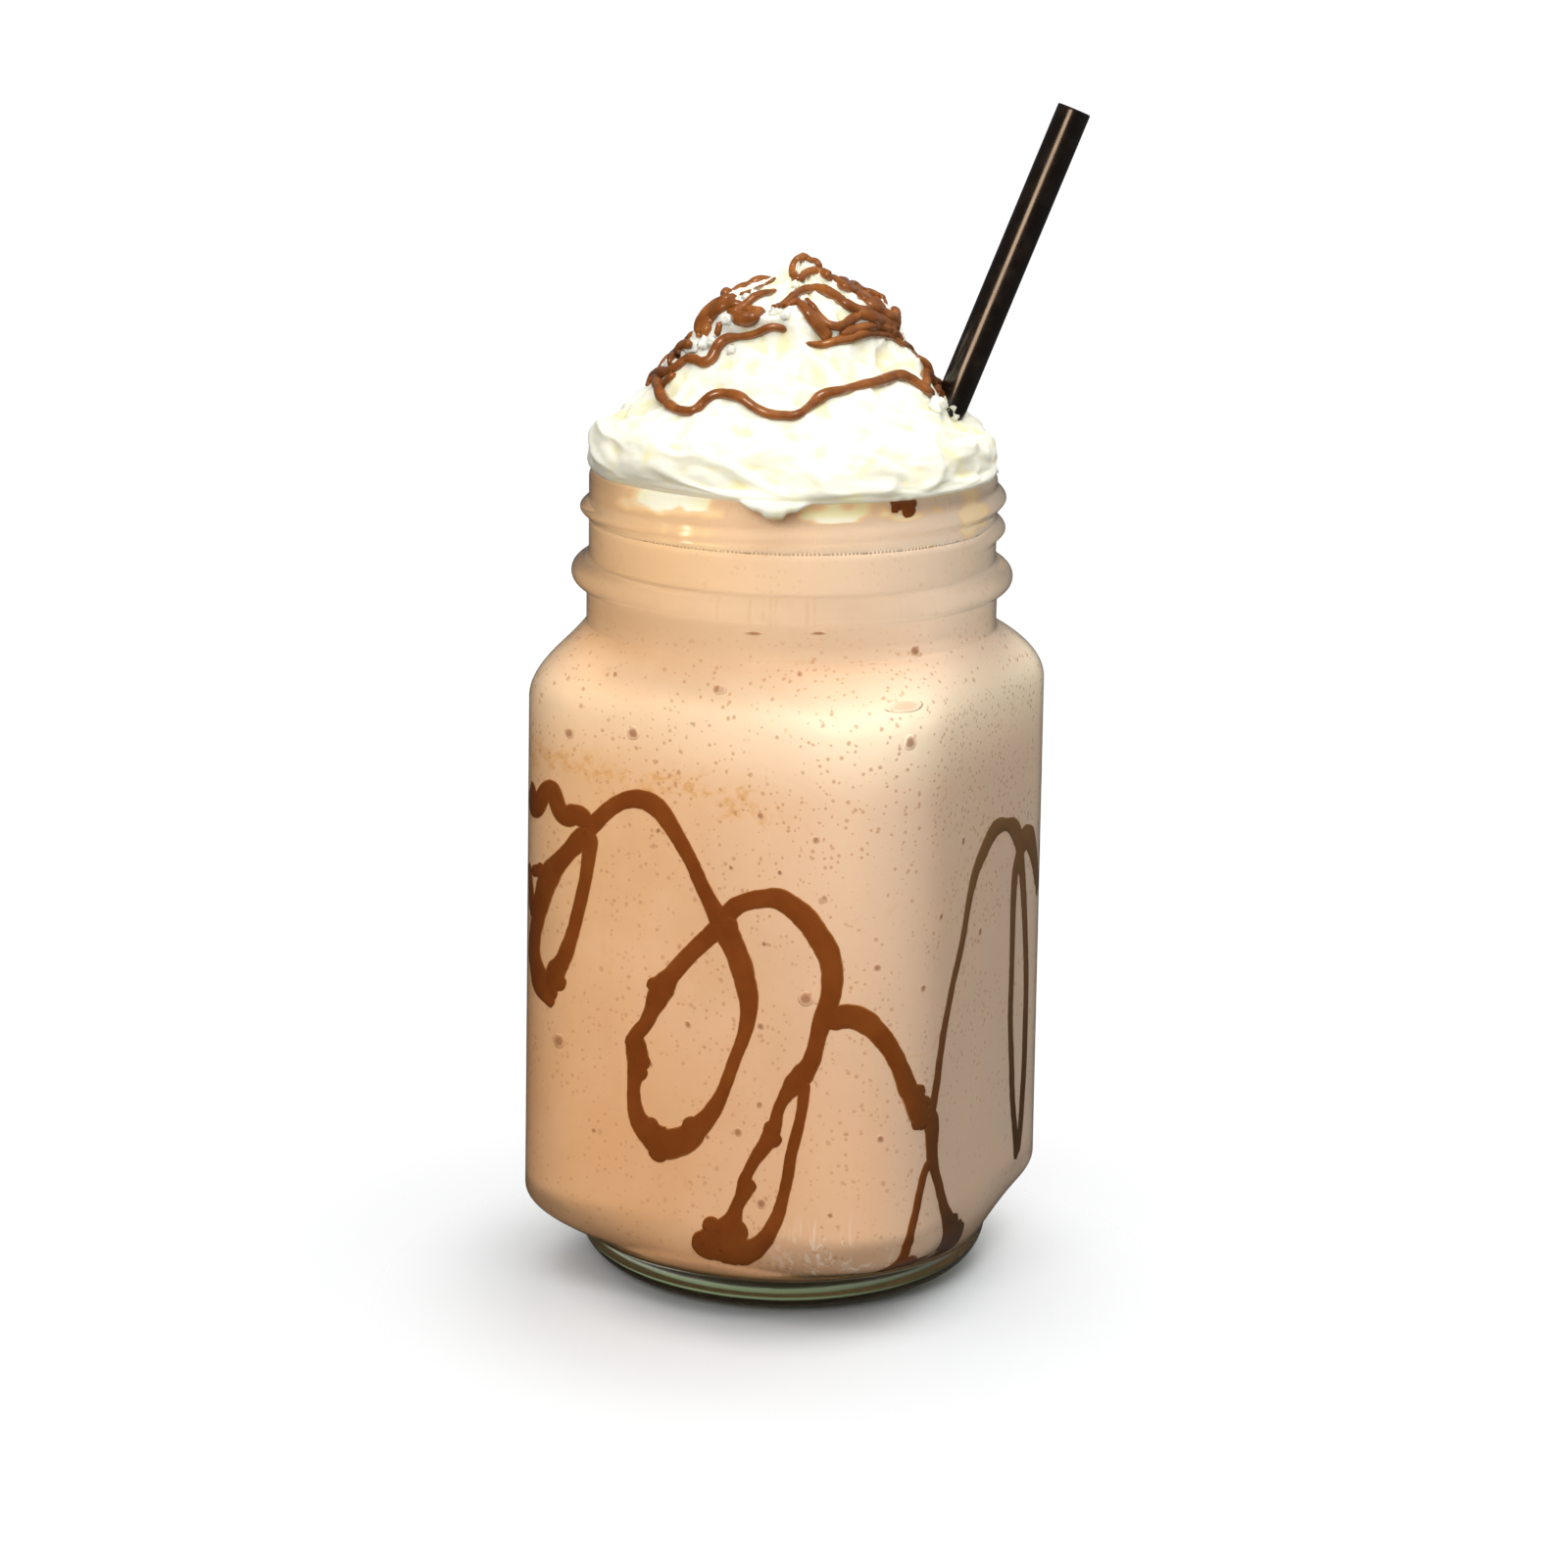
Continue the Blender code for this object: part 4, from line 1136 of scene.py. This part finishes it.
def drink_colour(nodes, place):
    """Colour of the drink: beige with soft clouds, warmer to the left and greyer to the right as painted
    light, a painted highlight band on the shoulder, painted shade under the bead, and fine brown specks.
    """
    x, y, z = nodes.split(place)
    across = nodes.across(x, y)
    # painted light: warmer to the left and greyer to the right, as the front and right faces are lit
    side = nodes.ramp(across, -0.036, 0.040)
    cloud = nodes.noise(place, 38.0, 4.0, 0.6, 0.8)
    streak = nodes.noise(place, 120.0, 5.0, 0.65, 1.5)
    # painted highlight: a pale band along the shoulder, stronger to the right
    shoulder_highlight = nodes.times(nodes.ramp(z, 0.087, 0.100), nodes.ramp(z, 0.109, 0.100),
                       nodes.ramp(across, -0.034, 0.034, 0.30, 0.80))
    # painted light: the neck too is warmer to the left and greyer to the right
    neck = nodes.mix(side, (0.82, 0.54, 0.29), (0.78, 0.66, 0.55))
    # painted shade: darker under the bead, from the left side to just right of the middle
    shade_under_bead = nodes.times(
        nodes.ramp(z, 0.101, 0.105), nodes.ramp(z, 0.121, 0.117, 0.0, 0.34),
        nodes.ramp(across, 0.008, 0.024, 1.0, 0.0), nodes.ramp(across, -0.033, -0.027))
    low = nodes.times(nodes.ramp(z, 0.015, 0.095, 0.42, 0.0), nodes.ramp(across, 0.012, 0.026, 1.0, 0.0))
    beige = nodes.layered(
        nodes.mix(side, (0.665, 0.402, 0.210), (0.71, 0.548, 0.435)),
        (nodes.ramp(cloud, 0.35, 0.75, 0.0, 0.5), (0.79, 0.55, 0.38)),
        (nodes.ramp(streak, 0.60, 0.80, 0.0, 0.35), (0.62, 0.30, 0.10)),
        (shoulder_highlight, (0.93, 0.80, 0.62)),
        (nodes.ramp(z, 0.008, 0.014, 0.6, 0.0), (0.40, 0.20, 0.10)),
        (nodes.ramp(z, 0.107, 0.118, 0.0, 0.55), neck),
        (shade_under_bead, (0.40, 0.27, 0.18)),
        (low, (0.66, 0.33, 0.15)),
        (streak_band(nodes, place, x, z), (0.60, 0.30, 0.09)),
        (wrinkles(nodes, place), (0.95, 0.84, 0.74)))
    upper = nodes.times(nodes.ramp(z, 0.02, 0.095, 0.75, 1.0), nodes.ramp(z, 0.108, 0.114, 1.0, 0.25))
    crowd = nodes.times(upper, nodes.ramp(nodes.noise(place, 80.0, 2.0), 0.32, 0.52))
    for scale, most, seed, where, strength, brown in (
            (1000.0, 0.40, 1.0, crowd, 0.6, (0.46, 0.22, 0.10)),
            (420.0, 0.22, 4.0, upper, 0.5, (0.42, 0.20, 0.09)),
            (130.0, 0.10, 9.0, upper, 0.5, (0.34, 0.15, 0.08))):
        specks = nodes.dots(place, scale, most, seed)
        beige = nodes.mix(nodes.times(specks, where, strength), beige, brown)
    return beige


def streak_band(nodes, place, x, z):
    """Where orange-brown streaks cross the front, falling from left to right."""
    line = nodes.times(nodes.plus(x, STREAK_START[0]), STREAK_FALL)
    off = nodes.plus(nodes.minus(z, STREAK_START[1]), line)
    ragged = nodes.noise(place, 150.0, 5.0, 0.7, 1.2)
    off = nodes.plus(off, nodes.times(nodes.minus(ragged, 0.5), 0.02))
    near = nodes.ramp(nodes.math("ABSOLUTE", off, 0.0), 0.0, 0.0030, 0.70, 0.0)
    near = nodes.times(near, nodes.ramp(x, 0.006, 0.020, 1.0, 0.0))
    return nodes.times(near, nodes.ramp(nodes.noise(place, 420.0, 4.0, 0.7), 0.40, 0.62))


def wrinkles(nodes, place):
    """Short pale upright marks of the mould low on the front corner."""
    offset = nodes.vector("DISTANCE", place, WRINKLE_CENTRE)["Value"]
    stretched = nodes.vector("MULTIPLY", place, (1.0, 1.0, 0.16))[0]
    marks = nodes.noise(stretched, 620.0, 3.0, 0.6, 1.2)
    return nodes.times(nodes.ramp(offset, 0.004, 0.0120, 0.60, 0.0), nodes.ramp(marks, 0.50, 0.68))


def drink_material():
    """The drink itself."""
    nodes = Nodes("milkshake")
    place = nodes.place()
    nodes.set(Base_Color=drink_colour(nodes, place), Roughness=0.45, Specular_IOR_Level=0.05)
    nodes.bump(nodes.noise(place, 400.0, 3.0), 0.15, 0.0003)
    return nodes.material


def spot_material():
    """Brown spots that fade into the drink."""
    nodes = Nodes("drink_spots")
    fade = nodes.ramp(nodes.value_of("edge"), 0.35, 1.0, 0.8, 0.0)
    tone = nodes.mix(nodes.value_of("pale"), (0.30, 0.12, 0.055), (0.62, 0.43, 0.31))
    colour = nodes.mix(fade, drink_colour(nodes, nodes.place()), tone)
    nodes.set(Base_Color=colour, Roughness=0.45, Specular_IOR_Level=0.05)
    return nodes.material


def swirl_material():
    """Chocolate sauce seen through the glass, lighter along its edges, and darker on the right by painted
    shade, most of all low down.
    """
    nodes = Nodes("sauce_swirls")
    place = nodes.place()
    x, y, z = nodes.split(place)
    cloud = nodes.ramp(nodes.noise(place, 160.0, 3.0), 0.3, 0.75)
    body = nodes.mix(cloud, (0.16, 0.041, 0.007), (0.20, 0.055, 0.010))
    body = nodes.mix(nodes.ramp(nodes.value_of("edge"), 0.86, 1.0), body, (0.36, 0.15, 0.04))
    # painted shade: darker on the right face, darkest low down
    right_face_shade = nodes.mix(nodes.ramp(z, 0.015, 0.075), (0.075, 0.032, 0.008), (0.175, 0.085, 0.028))
    body = nodes.mix(nodes.ramp(nodes.across(x, y), 0.016, 0.030), body, right_face_shade)
    nodes.set(Base_Color=body, Roughness=0.35, Specular_IOR_Level=0.05)
    nodes.bump(nodes.noise(place, 500.0, 3.0), 0.2, 0.0003)
    return nodes.material


def drizzle_material():
    """Glossy chocolate sauce."""
    nodes = Nodes("chocolate_drizzle")
    place = nodes.place()
    cloud = nodes.ramp(nodes.noise(place, 320.0, 3.0), 0.35, 0.75)
    colour = nodes.mix(cloud, (0.160, 0.047, 0.008), (0.275, 0.092, 0.018))
    nodes.set(Base_Color=colour, Roughness=0.34, Coat_Weight=0.5, Coat_Roughness=0.14)
    nodes.bump(nodes.noise(place, 700.0, 3.0), 0.2, 0.0002)
    return nodes.material


def cream_material():
    """Soft white cream with faint yellow blotches and painted yellowish shade in its folds; in the neck the
    drink shows where it has risen.
    """
    nodes = Nodes("whipped_cream")
    place = nodes.place()
    blotch = nodes.ramp(nodes.noise(place, 95.0, 3.0, 0.55, 0.6), 0.54, 0.74, 0.0, 0.75)
    cream = nodes.mix(blotch, (0.92, 0.905, 0.76), (0.91, 0.84, 0.38))
    # painted shade: the cream turns yellowish deep in its folds
    cream = nodes.mix(nodes.ramp(nodes.value_of("fold"), 0.50, 0.95, 0.0, 0.75), cream, (0.89, 0.82, 0.46))
    shown = nodes.value_of("cream_shown")
    melted = nodes.mix(nodes.ramp(shown, 0.0, 0.5), drink_colour(nodes, place), (0.90, 0.61, 0.32))
    colour = nodes.mix(nodes.ramp(shown, 0.30, 0.85), melted, cream)
    nodes.set(Base_Color=colour, Roughness=0.5, Subsurface_Weight=0.5, Subsurface_Scale=0.003,
              Subsurface_Radius=(1.0, 0.85, 0.6))
    nodes.bump(nodes.noise(place, 900.0, 4.0, 0.65), 0.10, 0.0003)
    return nodes.material


def straw_material():
    """Glossy black plastic with faint wear."""
    nodes = Nodes("straw_black")
    wear = nodes.noise(nodes.place(), 300.0, 4.0)
    colour = nodes.mix(nodes.ramp(wear, 0.4, 0.8), (0.006, 0.004, 0.003), (0.015, 0.010, 0.007))
    nodes.set(Base_Color=colour, Roughness=nodes.ramp(wear, 0.3, 0.8, 0.20, 0.30),
              Coat_Weight=0.6, Coat_IOR=1.5, Coat_Roughness=0.18)
    return nodes.material


# Stage

def floor_material():
    """Pale floor with a contact shadow painted darker round the jar's base, that fades out into the white
    surroundings.
    """
    nodes = Nodes("floor")
    place = nodes.place()
    x, y, _ = nodes.split(place)
    spans = []
    for shift in (PAINTED_SHADOW_SHIFT, FADE_SHIFT):
        u = nodes.plus(x, AWAY.x * shift)
        v = nodes.plus(y, AWAY.y * shift)
        spans.append(nodes.math("SQRT", nodes.plus(nodes.times(u, u), nodes.times(v, v)), 0.0))
    near, far = spans
    near = nodes.plus(near, nodes.times(nodes.minus(nodes.noise(place, 40.0, 2.0), 0.5), 0.004))
    # painted shadow: the floor's colour is darker close round the jar's base, with a ragged edge
    tone = nodes.mix(nodes.ramp(near, 0.015, 0.040), (0.33, 0.35, 0.37), (0.74, 0.77, 0.80))
    fade = nodes.plus(nodes.ramp(far, 0.036, 0.070, 0.70, 0.0), nodes.ramp(far, 0.058, 0.130, 0.30, 0.0))
    nodes.set(Base_Color=tone, Roughness=0.8, Alpha=fade)
    return nodes.material


def shine_on(lamp, thing):
    """Let a lamp light one thing only."""
    lit = bpy.data.collections.new(lamp.name)
    lit.objects.link(thing)
    lamp.light_linking.receiver_collection = lit


def make_stage(straw, drizzle):
    """Floor, lamps and surroundings."""
    work = bmesh.new()
    bmesh.ops.create_circle(work, cap_ends=True, segments=96, radius=STAGE_RADIUS)
    mesh = bpy.data.meshes.new("floor")
    work.to_mesh(mesh)
    work.free()
    mesh.materials.append(floor_material())
    floor = bpy.data.objects.new("floor", mesh)
    floor.location = (0.0, 0.0, -STAGE_DROP)
    bpy.context.scene.collection.objects.link(floor)
    floor.visible_glossy = False
    add_lamp("overhead_bank", 24.0, 74.0, 0.50, 0.5, 0.45, 2.25, (1.0, 0.99, 0.97), False)
    add_lamp("front_bank", -22.0, 26.0, 0.6, 0.4, 0.3, 2.15, (1.0, 0.97, 0.94), False)
    shine_on(add_lamp("straw_glint", -20.6, 17.7, 0.8, 0.30, 0.24, 2.3, (1.0, 0.70, 0.46), True), straw)
    shine_on(add_lamp("drizzle_glint", -30.0, 50.0, 0.6, 0.16, 0.16, 1.3, (1.0, 0.90, 0.75), True), drizzle)
    surroundings()


def add_lamp(name, azimuth, elevation, distance, wide, high, power, colour, mirrored):
    """A soft rectangular lamp, placed by its direction from the jar as the camera sees it."""
    turn = VIEW_AZIMUTH + math.radians(azimuth)
    tilt = math.radians(elevation)
    back = Vector((math.sin(turn) * math.cos(tilt), -math.cos(turn) * math.cos(tilt), math.sin(tilt)))
    data = bpy.data.lights.new(name, "AREA")
    data.shape = "RECTANGLE"
    data.size = wide
    data.size_y = high
    data.energy = power
    data.color = colour
    lamp = bpy.data.objects.new(name, data)
    lamp.visible_glossy = mirrored
    lamp.location = Vector((0.0, 0.0, LAMP_AIM)) + back * distance
    lamp.rotation_mode = "QUATERNION"
    lamp.rotation_quaternion = back.to_track_quat("Z", "Y")
    bpy.context.scene.collection.objects.link(lamp)
    return lamp


def surroundings():
    """White to the camera, and a soft room that is brighter to the right for everything else."""
    world = bpy.data.worlds.new("studio")
    bpy.context.scene.world = world
    nodes = Nodes("studio", world)
    nodes.tree.nodes.clear()
    place = nodes.add("TexCoord").outputs["Generated"]
    turn = nodes.vector("DOT_PRODUCT", place, tuple(SIDEWAYS * 0.8 + AWAY * 0.6))["Value"]
    side = nodes.ramp(turn, -0.2, 0.9, 0.25, 1.05)
    below = nodes.ramp(nodes.split(place)[2], -0.3, 0.1, 0.25, 1.0, "LINEAR")
    path = nodes.add("LightPath").outputs
    outside = nodes.times(path["Is Glossy Ray"], nodes.minus(1.0, path["Is Transmission Ray"]))
    dimmed = nodes.ramp(outside, 0.0, 1.0, 1.0, 0.20, "LINEAR")
    room = nodes.add("Background", (1.0, 0.99, 0.97), nodes.times(side, below, dimmed))
    white = nodes.add("Background", (1.0, 1.0, 1.0), 1.05)
    choose = nodes.add("MixShader", path["Is Camera Ray"], room.outputs[0], white.outputs[0])
    nodes.add("OutputWorld", choose.outputs[0])


def main():
    """Dress the milkshake."""
    bpy.context.scene.view_settings.view_transform = "Standard"
    make_camera()
    jar = make_jar(glass_material())
    drink = make_drink(drink_material())
    cream = make_cream(cream_material())
    straw = make_straw(straw_material())
    glass_tree = tree_of(jar)
    drink_tree = tree_of(drink)
    cream_tree = tree_of(cream)
    paint_fold_shade(cream)
    paint_neck(cream, cream_tree, glass_tree)
    drizzle = make_drizzle(cream_tree, drizzle_material())
    swirls = make_swirls(drink_tree, cream_tree, glass_tree, swirl_material())
    spots = make_spots(drink_tree, glass_tree, spot_material())
    for piece in (jar, drink, cream, straw, drizzle, swirls, spots):
        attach(piece, "root")
    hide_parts("jar")
    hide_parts("shake")
    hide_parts("cream")
    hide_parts("straw")
    make_stage(straw, drizzle)


main()
